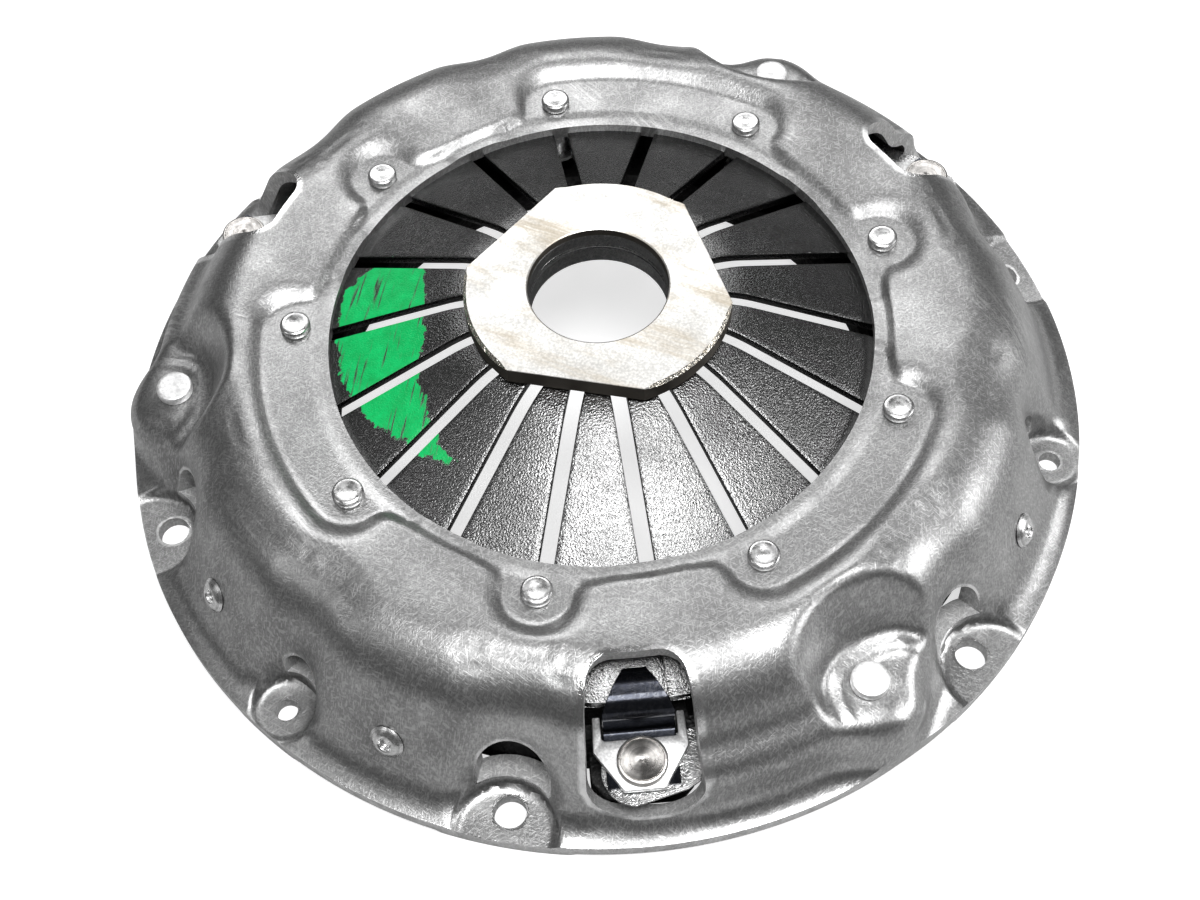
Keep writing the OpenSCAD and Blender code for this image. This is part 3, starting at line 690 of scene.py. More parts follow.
def on_dome(s, w, lift):
    """A place by the way s down the dome from the crest, the way w across and the lift off the sheet."""
    theta = min(max(s, 0) / SHOULDER_R, SLOPE)
    down = max(s - SHOULDER_R * SLOPE, 0)
    r = CREST_R + min(s, 0) + SHOULDER_R * math.sin(theta) + down * math.cos(SLOPE)
    r += lift * math.sin(theta)
    z = SHOULDER_Z + SHOULDER_R * math.cos(theta) - down * math.sin(SLOPE) + lift * math.cos(theta)
    turn = w / WINDOW_MIDDLE_R
    return r * math.cos(turn), r * math.sin(turn), z


def window_punch():
    """A punch for a strap window: its walls stand square to the sheet all the way round."""
    corners = rounded([(1.0, -13.4), (16, -14), (47.6, -13.5), (47.6, 13.5), (16, 14), (1.0, 13.4)],
                      [7.5, 40, 9, 9, 40, 7.5], 10)
    outline = []
    for here, there in zip(corners, corners[1:] + corners[:1]):
        steps = max(1, round(math.dist(here, there) / 1.5))
        outline += [tuple(np.add(here, np.subtract(there, here) * t / steps)) for t in range(steps)]
    n = len(outline)
    verts = [on_dome(a, b, -8) for a, b in outline] + [on_dome(a, b, 12) for a, b in outline]
    verts += [on_dome(24, 0, -8), on_dome(24, 0, 12)]
    faces = [(k, (k + 1) % n, n + (k + 1) % n, n + k) for k in range(n)]
    faces += [((k + 1) % n, k, 2 * n) for k in range(n)]
    faces += [(n + k, n + (k + 1) % n, 2 * n + 1) for k in range(n)]
    return verts, faces


VENT_FOOT, BOLT_VENT, DOWEL_VENT = 8.6, (18.5, 24.3), (11.5, 19)
punches = []
for k in range(3):
    punches.append(placed(window_punch(), turn_to(FIRST_WINDOW + 120 * k)))
    dowel = turn_to(FIRST_DOWEL + 120 * k)
    punches.append(placed(slab(disc(DOWEL_HOLE_R, BOLT_R), -5, 12), dowel))
    punches.append(placed(prism_along(arch(DOWEL_VENT[0], VENT_FOOT, DOWEL_VENT[1]), 106, 142), dowel))
for k in range(6):
    bolt = turn_to(FIRST_BOLT + 60 * k)
    punches.append(placed(slab(disc(BOLT_HOLE_R, BOLT_R), -5, 12), bolt))
    punches.append(placed(prism_along(arch(BOLT_VENT[0], VENT_FOOT, BOLT_VENT[1]), 106, 146), bolt))
punch_mesh = faced(mesh_of("punches", punches))
for mesh in (punch_mesh, faced(cover_mesh)):
    mesh.materials.append(pressed_steel)
    mesh.materials.append(cut_steel)
for face in punch_mesh.polygons:
    face.material_index = 1
punch = bpy.data.objects.new("punches", punch_mesh)
scene.collection.objects.link(punch)
cover = piece("cover_pressing", cover_mesh, None, None, smooth=0)
cut = cover.modifiers.new("punch", "BOOLEAN")
cut.operation, cut.object, cut.solver = "DIFFERENCE", punch, "MANIFOLD"
cover_mesh = apply_modifiers(cover)
bpy.data.objects.remove(punch)
print("cover after punching:", len(cover_mesh.polygons), "faces",
      sum(1 for f in cover_mesh.polygons if f.material_index == 1), "on the cut walls")

# %% [markdown]
# The bend that drives the rub and the painted highlight and shade is worked out on the cut mesh, vertex by
# vertex: the mean of the neighbours is compared with the vertex along its normal. It is then smoothed over a
# few rings of neighbours.


# %% Rub and painted light of the cover
def work_out_rub_and_light(mesh, gain, rounds):
    """Stores how sharply the surface bends at each vertex, which drives the rub and the painted highlight
    and shade.
    """
    n = len(mesh.vertices)
    co, normal = np.empty(n * 3), np.empty(n * 3)
    mesh.vertices.foreach_get("co", co)
    mesh.vertex_normals.foreach_get("vector", normal)
    co, normal = co.reshape(n, 3), normal.reshape(n, 3)
    edges = np.empty(len(mesh.edges) * 2, np.int64)
    mesh.edges.foreach_get("vertices", edges)
    a, b = edges.reshape(-1, 2).T
    gap = co[b] - co[a]
    length2 = np.maximum((gap ** 2).sum(1), (0.15 * MM) ** 2)
    bend = np.bincount(a, -(gap * normal[a]).sum(1) / length2, n)
    bend += np.bincount(b, (gap * normal[b]).sum(1) / length2, n)
    share = np.bincount(a, minlength=n) + np.bincount(b, minlength=n)
    rub = np.clip(bend / np.maximum(share, 1) * gain, -1.5, 2.5)
    # The rim of a punched hole is always made bright, partly as wear and partly as a painted highlight
    kinds = np.zeros((n, 2), bool)
    for face in mesh.polygons:
        kinds[list(face.vertices), min(face.material_index, 1)] = True
    rub[kinds.all(1)] = 3.0
    for _ in range(rounds):
        near = (np.bincount(a, rub[b], n) + np.bincount(b, rub[a], n)) / np.maximum(share, 1)
        rub = 0.4 * rub + 0.6 * near
    mesh.attributes.new("rub", "FLOAT", "POINT").data.foreach_set("value", rub)
    return rub


rub = work_out_rub_and_light(cover_mesh, 2 * MM, 3)
print("rub from", round(rub.min(), 2), "to", round(rub.max(), 2))
cover_mesh.shade_smooth()
cover_mesh.set_sharp_from_angle(angle=math.radians(38))
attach(cover, "cover")
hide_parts("cover")

# %% [markdown]
# ## The diaphragm spring
# A slotted cone of spring steel, 2.8 mm thick. Its rim is stiff and its eighteen fingers are levers, so when
# the release plate goes down the fingers bend and the rim tips up with the cast plate. Each finger and each
# rim segment is therefore a piece of its own. The long edges are rounded, as shot-peened ones are.

# %% Finger sections
BEND_R, BEND_ROUND = 42.0, 32.0
RING_Z = LAND_Z - SHEET - WIRE_R
KEYHOLE_R, KEYHOLE_AT = 5.5, RING_R - 1.4 - 5.5


def spring_height(r):
    """Height of the spring's top at a radius: a cone whose tips are bent level."""
    if r >= BEND_R:
        return RING_Z - WIRE_R / math.cos(CONE) + (RING_R - r) * math.tan(CONE)
    edge = BEND_R - BEND_ROUND * math.sin(CONE)
    tip = RING_Z - WIRE_R / math.cos(CONE) + (RING_R - BEND_R) * math.tan(CONE)
    tip += BEND_ROUND * (1 - math.cos(CONE))
    return tip - (0 if r <= edge else BEND_ROUND - math.sqrt(BEND_ROUND ** 2 - (r - edge) ** 2))


def slot_half(r):
    """Half the width of a slot at a radius, with its round end, or none past it."""
    if r >= KEYHOLE_AT + KEYHOLE_R:
        return 0.0
    keyhole = KEYHOLE_R ** 2 - (r - KEYHOLE_AT) ** 2
    return max(SLOT_W / 2 if r < KEYHOLE_AT else 0.0, math.sqrt(keyhole) if keyhole > 0 else 0.0)


def spring_part(name, middle, radii, across=14, edge=0.35):
    """A closed lofted strip of the spring between slots, centred on an angle."""
    rings = []
    for r in radii:
        w = math.radians(10) - math.asin(min(slot_half(r) / r, 0.9)) - 0.00002
        top, e = spring_height(r), edge / r
        line = [(-w + e + (2 * w - 2 * e) * k / across, 0) for k in range(across + 1)]
        section = line + [(w - 0.3 * e, -0.3 * edge), (w, -edge), (w, -SPRING_T + edge),
                          (w - 0.3 * e, -SPRING_T + 0.3 * edge)]
        section += [(a, -SPRING_T) for a, _ in reversed(line)]
        section += [(-w + 0.3 * e, -SPRING_T + 0.3 * edge), (-w, -SPRING_T + edge), (-w, -edge),
                    (-w + 0.3 * e, -0.3 * edge)]
        rings.append([(r * math.cos(middle + a), r * math.sin(middle + a), top + z) for a, z in section])
    m = len(rings[0])
    verts = [p for ring in rings for p in ring]
    faces = [face[::-1] for face in skin(len(rings), m, False)]
    faces += [tuple(range(m)), tuple(len(verts) - 1 - k for k in range(m))]
    return mesh_of(name, [(verts, faces)])


# %% [markdown]
# The spring's finish is dark and shot-peened, so it is full of tiny dents that sparkle under a lamp.
# A few fingers on the left carry a mark of green paint from the maker's measuring bench. The paint is a
# mask in the spring's finish: a band between two radii that end at two angles, with a torn edge.

# %% Spring finish
peened = metal("peened_spring", grey(0.12), grey(0.29), 0.23, cloud_size=40.0, grain_size=1900.0,
               rough_swing=0.05, cloudy=0.7, bump=0.5, hairs=0.0, rub=1.0, worn_and_highlight_tone=0.55)


def drawn_limit(tree, angle, points):
    """A radius that follows a drawn curve over the angle, with 1 on the curve for 100 mm."""
    along = place(tree, "ShaderNodeMapRange", i0=angle, i1=-0.3, i2=1.2).outputs[0]
    node = place(tree, "ShaderNodeFloatCurve", Value=along)
    curve = node.mapping.curves[0]
    curve.points[0].location, curve.points[-1].location = points[0], points[-1]
    for point in points[1:-1]:
        curve.points.new(*point)
    node.mapping.update()
    return times(tree, node.outputs[0], 0.1)


def add_paint(mat):
    """Lays the green bench mark over a finish."""
    tree = mat.node_tree
    shader = tree.nodes["Principled BSDF"]
    where = place(tree, "ShaderNodeTexCoord").outputs["Object"]
    cut_up = place(tree, "ShaderNodeSeparateXYZ", Vector=where)
    x, y = cut_up.outputs["X"], cut_up.outputs["Y"]
    radius = maths(tree, "SQRT", plus(tree, times(tree, x, x), times(tree, y, y)))
    angle = maths(tree, "ARCTAN2", times(tree, y, -1.0), times(tree, x, -1.0))
    ragged = place(tree, "ShaderNodeTexNoise", Vector=where, Scale=220.0, Detail=6.0, Roughness=0.7)
    streaks = place(tree, "ShaderNodeMapping", Vector=where, Rotation=(0, 0, 0.2), Scale=(900.0, 60.0, 60.0))
    streak = place(tree, "ShaderNodeTexNoise", Vector=streaks.outputs[0], Scale=1.0, Detail=2.0)
    torn = maths(tree, "SUBTRACT", ragged.outputs["Fac"], 0.5)
    outer = drawn_limit(tree, angle, [(0, 0.6), (0.093, 0.67), (0.153, 0.72), (0.353, 0.73), (0.547, 0.7),
                                      (0.8, 0.63), (1, 0.6)])
    inner = drawn_limit(tree, angle, [(0, 0.52), (0.087, 0.51), (0.34, 0.47), (0.653, 0.53), (0.853, 0.58),
                                      (1, 0.6)])
    torn_edge = times(tree, torn, 0.009)
    below = spread(tree, maths(tree, "SUBTRACT", plus(tree, outer, torn_edge), radius), 0.0, 0.0006)
    above = spread(tree, maths(tree, "SUBTRACT", radius, plus(tree, inner, torn_edge)), 0.0, 0.0006)
    from_start = spread(tree, plus(tree, angle, times(tree, torn, 0.2)), -0.2, -0.18)
    to_end = spread(tree, plus(tree, angle, times(tree, torn, 0.3)), 1.05, 1.03)
    normal = place(tree, "ShaderNodeNewGeometry").outputs["Normal"]
    top_only = spread(tree, place(tree, "ShaderNodeSeparateXYZ", Vector=normal).outputs["Z"], 0.5, 0.7)
    thin = spread(tree, streak.outputs["Fac"], 0.3, 0.42, 0.15, 1.0)
    mask = times(tree, below, above)
    for part in (times(tree, from_start, to_end), top_only, thin):
        mask = times(tree, mask, part)
    green = blend_colour(tree, ragged.outputs["Fac"], (0.0, 0.22, 0.035, 1), (0.0, 0.72, 0.19, 1))
    base, rough = shader.inputs["Base Color"], shader.inputs["Roughness"]
    bare = maths(tree, "SUBTRACT", 1.0, mask)
    tree.links.new(blend_colour(tree, mask, base.links[0].from_socket, green), base)
    tree.links.new(bare, shader.inputs["Metallic"])
    under = times(tree, rough.links[0].from_socket, bare)
    tree.links.new(plus(tree, under, times(tree, mask, 0.35)), rough)


add_paint(peened)
finger_radii = np.concatenate((np.linspace(TIP_R, 44, 14), np.linspace(46, 76, 12),
                               np.linspace(77.4, RING_R, 16)))
rim_radii = np.linspace(RING_R, SPRING_R - 0.35, 9)


def spring_piece(name, number, middle, radii, edge):
    """A strip of the spring, made a piece of its own."""
    mesh = spring_part(name, middle, radii, edge=edge)
    made = piece(f"{name}_{number:02d}", mesh, None, peened, 40)
    work_out_rub_and_light(made.data, 1.2 * MM, 1)
    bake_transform(made)
    return made


for k in range(18):
    middle = math.radians(FIRST_BOLT + 10 + 20 * k)
    finger = spring_piece("finger", k + 1, middle, finger_radii, 0.35)
    spring_piece("spring_rim", k + 1, middle, rim_radii, 0.02)
    if k == 0:
        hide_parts("diaphragm_spring")
print("eighteen fingers and rim segments")

# %% [markdown]
# ## The drive straps
# Three packs of leaf springs turn the cast plate with the cover and pull it off the driven plate. Each
# leaf is riveted to a lug at one end and under a shelf of the cover at the other, and bends in between.

# %% Drive straps
strap_steel = metal("strap_steel", grey(0.3), grey(0.6), 0.3, cloud_size=120.0, bump=0.25, hairs=0.35,
                    rub=1.0, worn_and_highlight_tone=0.85)
LUG_TOP, PACK_TOP, LEAF, LEAF_W = 14.0, SHELF_Z - SHEET, 0.9, 12.4
span = math.radians(STRAP_SPAN)
strap_dx, strap_dy = STRAP_R * math.cos(span) - LUG_R, STRAP_R * math.sin(span)
STRAP_L, strap_turn = math.hypot(strap_dx, strap_dy), math.atan2(strap_dy, strap_dx)


def leaf_outline(grow):
    """A leaf seen from above: a round eye at each end and straight sides between them."""
    big, small, half = 9.0 + grow, 7.3 + grow, LEAF_W / 2 + grow
    a, b = math.asin(half / big), math.asin(half / small)
    left = [(big * math.cos(t) - 1.4, big * math.sin(t)) for t in np.linspace(a, 1.5 * math.pi - 0.35, 28)]
    right = [(STRAP_L + small * math.cos(t), small * math.sin(t))
             for t in np.linspace(b - math.pi, math.pi - b, 24)]
    between = np.linspace(big * math.cos(a), STRAP_L - small * math.cos(b), 20)[1:-1]
    wide = big * math.cos(0.35)
    outer = [(x, -half - (wide - half) * (1 - float(smooth_step((x - 8) / 9)))) for x in between]
    return left + outer + right + [(x, half) for x in between[::-1]]


def leaf_part(number):
    grow = -0.18 * number
    outline = leaf_outline(grow)
    low = LUG_TOP + LEAF * number
    verts, faces = slab(outline, low, low + LEAF - 0.06)
    rise = PACK_TOP - LUG_TOP - 3 * LEAF
    lifted = [(x, y, z + rise * float(smooth_step((x - 9) / (STRAP_L - 18)))) for x, y, z in verts]
    return lifted, faces


def from_lug(k, point):
    """A point of a strap, which is drawn from its lug outwards along +X, put in its place."""
    laid = Matrix.Rotation(strap_turn, 3, "Z") @ Vector(point) + Vector((LUG_R, 0, 0))
    return turn_to(FIRST_WINDOW + 120 * k) @ laid


for k in range(3):
    leaves = [leaf_part(number) for number in range(3)]
    parts = [([tuple(from_lug(k, v)) for v in verts], faces) for verts, faces in leaves]
    strap = piece(f"strap_pack_{k + 1}", mesh_of("strap_pack", parts), None, strap_steel, 30)
    work_out_rub_and_light(strap.data, 1 * MM, 0)
    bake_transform(strap)
    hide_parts(f"drive_strap_{k + 1}")

# %% [markdown]
# ## Rivets
# Every rivet here was turned or headed, so its face has fine rings round its own axis. The meshes keep
# each point's place before it was moved, in the attribute local, and the finish draws its rings from that.

# %% Turned finish
def from_axis(tree, at):
    """The distance of a point from the Z axis."""
    flat = place(tree, "ShaderNodeVectorMath", {"operation": "MULTIPLY"}, i0=at, i1=(1, 1, 0)).outputs[0]
    return place(tree, "ShaderNodeVectorMath", {"operation": "LENGTH"}, i0=flat).outputs["Value"]


def add_rings(mat, pitch, strength, depth=0.00006, fan=0.0):
    """Adds turned rings round the piece's own axis to a finish."""
    tree = mat.node_tree
    shader = tree.nodes["Principled BSDF"]
    own = place(tree, "ShaderNodeAttribute", {"attribute_name": "local"})
    rings = place(tree, "ShaderNodeTexNoise", {"noise_dimensions": "1D"}, Detail=2.0, Scale=1 / pitch,
                  W=from_axis(tree, own.outputs["Vector"]))
    base = shader.inputs["Normal"].links[0].from_node
    cut = place(tree, "ShaderNodeBump", Height=rings.outputs[0], Strength=strength, Distance=depth,
                Normal=base.outputs[0])
    tree.links.new(cut.outputs[0], shader.inputs["Normal"])
    under = shader.inputs["Base Color"].links[0].from_socket
    shade = spread(tree, rings.outputs[0], 0.35, 0.65, 0.72, 1.12)
    if fan:
        shader.inputs["Anisotropic"].default_value = fan
        round_it = place(tree, "ShaderNodeAttribute", {"attribute_name": "around"})
        tree.links.new(round_it.outputs["Vector"], shader.inputs["Tangent"])
    toned = place(tree, "ShaderNodeVectorMath", {"operation": "SCALE"}, i0=under, Scale=shade)
    tree.links.new(toned.outputs[0], shader.inputs["Base Color"])
    return mat


plated = add_rings(metal("plated_rivet", grey(0.66), grey(0.88), 0.3, cloud_size=400.0, cloudy=0.8,
                         bump=0.05, hairs=0.15), 0.0011, 0.4)
turned_steel = add_rings(metal("turned_rivet", grey(0.5, 0.03), grey(0.68, 0.04), 0.34, cloud_size=200.0,
                               bump=0.02, hairs=0.03), 0.0009, 0.5, fan=0.85)


def ring_part(section, steps=96):
    """A closed ring turned from a closed section of (radius, height) points."""
    angles = np.radians(360 * np.arange(steps) / steps)
    verts = [(r * math.cos(a), r * math.sin(a), z) for a in angles for r, z in section]
    return verts, skin(steps, len(section))


# %% [markdown]
# The nine fulcrum rivets are alike, so one of them is drawn and a Geometry Nodes group sets the rest
# round the circle. Count and radius are named inputs, and each rivet is turned a little from its
# neighbour, because nobody lines rivets up. Lowest comes the foot under the spring, then the shoulder on
# which the spring swings, then the dished head on the land.

# %% Fulcrum rivets
COLLAR_R, SHANK_R, HEAD_R, HEAD_H = 3.2, 2.5, 4.15, 2.5
lowest, head_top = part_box("fulcrum_rivets")[0].z / MM, LAND_Z + HEAD_H
rivet_section = [(0, lowest), (5.4, lowest), (5.9, lowest + 0.5), (5.9, lowest + 1.8),
                 (COLLAR_R, lowest + 1.8), (COLLAR_R, LAND_Z - SHEET), (SHANK_R, LAND_Z - SHEET),
                 (SHANK_R, LAND_Z), (HEAD_R - 0.25, LAND_Z), (HEAD_R, LAND_Z + 0.5),
                 (HEAD_R, head_top - 0.75), (HEAD_R - 0.18, head_top - 0.3),
                 (HEAD_R - 0.55, head_top - 0.06), (HEAD_R - 1, head_top), (HEAD_R - 1.6, head_top - 0.05),
                 (1.5, head_top - 0.22), (0.75, head_top - 0.33), (0, head_top - 0.36)]


def ring_group():
    """A Geometry Nodes group that sets copies of a mesh round a circle."""
    tree = bpy.data.node_groups.new("set_in_a_ring", "GeometryNodeTree")
    for label, kind in (("Geometry", "Geometry"), ("Count", "Int"), ("Radius", "Float"),
                        ("First Angle", "Float"), ("Material", "Material")):
        tree.interface.new_socket(label, in_out="INPUT", socket_type="NodeSocket" + kind)
    tree.interface.new_socket("Geometry", in_out="OUTPUT", socket_type="NodeSocketGeometry")
    enter, leave = tree.nodes.new("NodeGroupInput"), tree.nodes.new("NodeGroupOutput")
    circle = place(tree, "GeometryNodeMeshCircle", Vertices=enter.outputs["Count"],
                   Radius=enter.outputs["Radius"])
    index = place(tree, "GeometryNodeInputIndex")
    own_turn = place(tree, "FunctionNodeRandomValue", {"data_type": "FLOAT"}, ID=index.outputs[0], Seed=4)
    own_turn.inputs[2].default_value, own_turn.inputs[3].default_value = 0.0, 6.283
    spin = place(tree, "ShaderNodeCombineXYZ", Z=own_turn.outputs[1])
    lean = place(tree, "ShaderNodeCombineXYZ", Z=enter.outputs["First Angle"])
    set_round = place(tree, "GeometryNodeTransform", Geometry=circle.outputs[0], Rotation=lean.outputs[0])
    copies = place(tree, "GeometryNodeInstanceOnPoints", Points=set_round.outputs[0],
                   Instance=enter.outputs["Geometry"], Rotation=spin.outputs[0])
    real = place(tree, "GeometryNodeRealizeInstances", Geometry=copies.outputs[0])
    dressed = place(tree, "GeometryNodeSetMaterial", Geometry=real.outputs[0],
                    Material=enter.outputs["Material"])
    tree.links.new(dressed.outputs[0], leave.inputs[0])
    return tree


rivet_mesh = faced(mesh_of("fulcrum_rivet", [turned(rivet_section, 40)]))
rivets = piece("fulcrum_rivet_ring", rivet_mesh, None, plated)
ring = rivets.modifiers.new("ring", "NODES")
ring.node_group = ring_group()
sockets = {item.name: item.identifier for item in ring.node_group.interface.items_tree
           if item.in_out == "INPUT"}
ring[sockets["Count"]] = 9
ring[sockets["Radius"]] = RIVET_R * MM
ring[sockets["First Angle"]] = math.radians(FIRST_BOLT)
ring[sockets["Material"]] = plated
apply_modifiers(rivets)
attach(rivets, "cover")
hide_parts("fulcrum_rivets")
print("fulcrum rivets:", len(rivets.data.polygons), "faces, material", rivets.data.materials[0].name)

# %% [markdown]
# The drive straps hang on two kinds of rivet. Those in the cast lugs have wide turned faces with a fine
# groove near the edge. Those on the cover's shelves are plain headed rivets, flattened by the press.

# %% Strap and lug rivets
LUG_HEAD_Z, LUG_HEAD_R, LUG_TAIL_Z = 19.2, 6.4, 5.2
top = LUG_HEAD_Z + 2.5
lug_section = [(0, LUG_TAIL_Z), (3.9, LUG_TAIL_Z), (4.7, LUG_TAIL_Z + 0.7), (4.8, LUG_TAIL_Z + 0.8),
               (4, LUG_TAIL_Z + 0.8), (4, LUG_HEAD_Z), (LUG_HEAD_R - 0.3, LUG_HEAD_Z),
               (LUG_HEAD_R, LUG_HEAD_Z + 0.3), (LUG_HEAD_R, top - 0.35), (LUG_HEAD_R - 0.12, top - 0.1),
               (LUG_HEAD_R - 0.4, top), (5.62, top), (5.54, top - 0.14), (5.4, top - 0.02), (4, top - 0.04),
               (2.4, top - 0.07), (1.1, top - 0.12), (0.35, top - 0.22), (0, top - 0.36)]
SHELF_HEAD_R, SHELF_TAIL_Z, PACK_LOW = 5.0, 14.5, PACK_TOP - 3 * LEAF
top = SHELF_Z + 2.8
shelf_section = [(0, SHELF_TAIL_Z), (4.1, SHELF_TAIL_Z), (4.8, SHELF_TAIL_Z + 0.3), (5, SHELF_TAIL_Z + 1),
                 (5, PACK_LOW), (3.5, PACK_LOW), (3.5, SHELF_Z), (SHELF_HEAD_R - 0.35, SHELF_Z),
                 (SHELF_HEAD_R - 0.1, SHELF_Z + 0.25), (SHELF_HEAD_R, SHELF_Z + 1.2),
                 (SHELF_HEAD_R - 0.05, top - 0.6), (SHELF_HEAD_R - 0.22, top - 0.2),
                 (SHELF_HEAD_R - 0.6, top - 0.03), (SHELF_HEAD_R - 1.2, top), (2, top - 0.04),
                 (0, top - 0.08)]
flattened = metal("flattened_rivet", grey(0.8), grey(0.97), 0.5, cloud_size=330.0, cloudy=1.0, bump=0.16,
                  grain_size=900.0, hairs=0.12, rough_swing=0.06)


def set_piece(name, number, parts, at, body, material, smooth, node):
    """A finished piece put at its station, with its number in its own name and in its CAD node's."""
    mesh = faced(mesh_of(name, parts, at))
    return piece(f"{name}_{number}", mesh, body, material, smooth, f"{node}_{number}")


for k in range(3):
    at_lug = station(FIRST_WINDOW + 120 * k, LUG_R)
    at_shelf = station(FIRST_WINDOW + STRAP_SPAN + 120 * k, STRAP_R)
    set_piece("lug_rivet_turned", k + 1, [turned(lug_section, 64)], at_lug, "pressure_plate",
              turned_steel, 35, "lug_rivet")
    set_piece("shelf_rivet", k + 1, [turned(shelf_section, 56)], at_shelf, "cover",
              flattened, 35, "strap_rivet")

# %% [markdown]
# Three blind rivets in the wall are balance weights. The balancing machine says where they go, so they
# don't follow the thirds of the cover. Each is a pulled tube rivet with a dished flange, and the broken
# end of its pin is left inside.

# %% Balance rivets
tube_section = [(1.75, -7.4), (2.6, -7.2), (2.95, -6.6), (2.9, -4.7), (2.4, -4), (2.4, 0), (4.3, 0.02),
                (4.7, 0.12), (4.75, 0.3), (4.5, 0.55), (3.7, 1.15), (3.0, 1.5), (2.5, 1.62), (2.1, 1.55),
                (1.85, 1.35), (1.75, 1.1)]
pin_section = [(0, -6.8), (1.6, -6.8), (1.7, -6.4), (1.7, 0.1), (1.3, 0.35), (0.6, 0.15), (0, 0.3)]
BALANCE_ANGLES, BALANCE_Z = (-105, -135, -15), 18
for k, angle in enumerate(BALANCE_ANGLES):
    wall_place = station(angle, WALL_FOOT_R - (BALANCE_Z - FOOT_Z) / math.tan(SLOPE), BALANCE_Z)
    wall_place = wall_place @ Matrix.Rotation(SLOPE, 4, "Y")
    set_piece("blind_rivet", k + 1, [ring_part(tube_section, 40), turned(pin_section, 24)], wall_place,
              "cover", plated, 50, "balance_rivet")

# %% [markdown]
# ## The clips in the windows
# A bright stamped fork lies over each strap eye. A black sprung tongue starts under it, turns up in a
# wide bend and reaches over the rim of the diaphragm, so that the cast plate follows the spring.

# %% Forks and tongues
def softened(made, width, segments=2):
    """Rounds the edges of a piece with a bevel."""
    edge = made.modifiers.new("edge", "BEVEL")
    edge.width, edge.segments, edge.limit_method = width * MM, segments, "ANGLE"
    edge.angle_limit = math.radians(35)
    mesh = apply_modifiers(made)
    mesh.shade_smooth()
    mesh.set_sharp_from_angle(angle=math.radians(50))
    return mesh


FORK_Z, FORK_T, BASE_W, TIP_W, CLIP_T = 17.6, 1.6, 18.3, 6.2, 0.9
RISER_R, TIP_AT, HEEL_AT = LUG_R - 9.6, SPRING_R - 7.6, LUG_R + 5.5
stamped = metal("stamped_fork", grey(0.88), grey(0.96), 0.46, cloud_size=150.0, bump=0.06, hairs=0.1,
                rough_swing=0.04)
blued = metal("blued_tongue", (0.016, 0.018, 0.024, 1), (0.04, 0.043, 0.055, 1), 0.19, metallic=0.9,
              cloud_size=170.0, bump=0.05, grain_size=1100.0, hairs=0.03, rough_swing=0.05, coat=0.1)
half_fork = [(6.9, 5.1), (-3.9, 12), (-13.2, 11.6), (-13.2, 9.6), (-6.6, 9.6)]
fork_outline = [(x, -w) for x, w in half_fork[::-1]] + half_fork
fork_outline = rounded(fork_outline, [0.9, 0.5, 0.4, 0.8, 0.6, 0.6, 0.8, 0.4, 0.5, 0.9], 3)


def tongue_line():
    """The clip's side view, from heel to tip: points in (radius, height) on its outer side."""
    low, fold, bend = FORK_Z - 0.02, 0.9, 5.4
    line = [(HEEL_AT, low), (LUG_R, low), (RISER_R + 3, low), (RISER_R + 1.1, low)]
    line += [(RISER_R + fold + fold * math.cos(a), low + fold + fold * math.sin(a))
             for a in np.radians((-90, -115, -140, -165, -180))]
    peak = spring_height(SPRING_R) + 5.1
    line += [(RISER_R - bend + bend * math.cos(a), peak - bend + bend * math.sin(a))
             for a in np.linspace(math.radians(-4), math.radians(88), 16)]
    tip = (TIP_AT, spring_height(TIP_AT) + 0.3 + CLIP_T)
    last = line[-1]
    for t in (0.25, 0.5, 0.75, 1):
        arch = 0.9 * math.sin(math.pi * t)
        line.append((last[0] + (tip[0] - last[0]) * t, last[1] + (tip[1] - last[1]) * t + arch))
    return line


def tongue_half_width(r):
    """Half the clip's width at a radius: broad over the base, narrowing to the tip."""
    taper = (r - TIP_AT) / (RISER_R - 0.6 - TIP_AT)
    return BASE_W / 2 if taper > 1 else TIP_W / 2 + (BASE_W - TIP_W) / 2 * taper


def tongue_part():
    line = tongue_line()
    rings = []
    for k, (r, z) in enumerate(line):
        before, after = line[max(k - 1, 0)], line[min(k + 1, len(line) - 1)]
        along = Vector((after[0] - before[0], after[1] - before[1])).normalized()
        inward = Vector((along.y, -along.x)) * -CLIP_T
        w, e = tongue_half_width(r), 0.18
        section = [(0, e - w), (0, w - e), (0.3, w), (0.7, w), (1, w - e), (1, e - w), (0.7, -w), (0.3, -w)]
        rings.append([(r + inward.x * t, y, z + inward.y * t) for t, y in section])
    m = len(rings[0])
    faces = [(a, d, c, b) for a, b, c, d in skin(len(rings), m, False)]
    verts = [(x - LUG_R, y, z) for ring in rings for x, y, z in ring]
    faces += [tuple(reversed(range(m))), tuple(range(len(verts) - m, len(verts)))]
    return verts, faces


for k in range(3):
    there = station(FIRST_WINDOW + 120 * k, LUG_R)
    fork_mesh = faced(mesh_of("fork_plate", [slab(fork_outline, FORK_Z, FORK_Z + FORK_T)], there))
    fork = piece(f"fork_plate_{k + 1}", fork_mesh, None, stamped)
    softened(fork, 0.22)
    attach(fork, "pressure_plate")
    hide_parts(f"clip_plate_{k + 1}")
    set_piece("spring_tongue", k + 1, [tongue_part()], there, "pressure_plate", blued, 40,
              "retraction_clip")
print("clips done")

# %% [markdown]
# Each lug of the cast plate stands on a broad foot that carries the strap's pull into the ring. It is
# rough black casting, and it fills the lower part of the window.

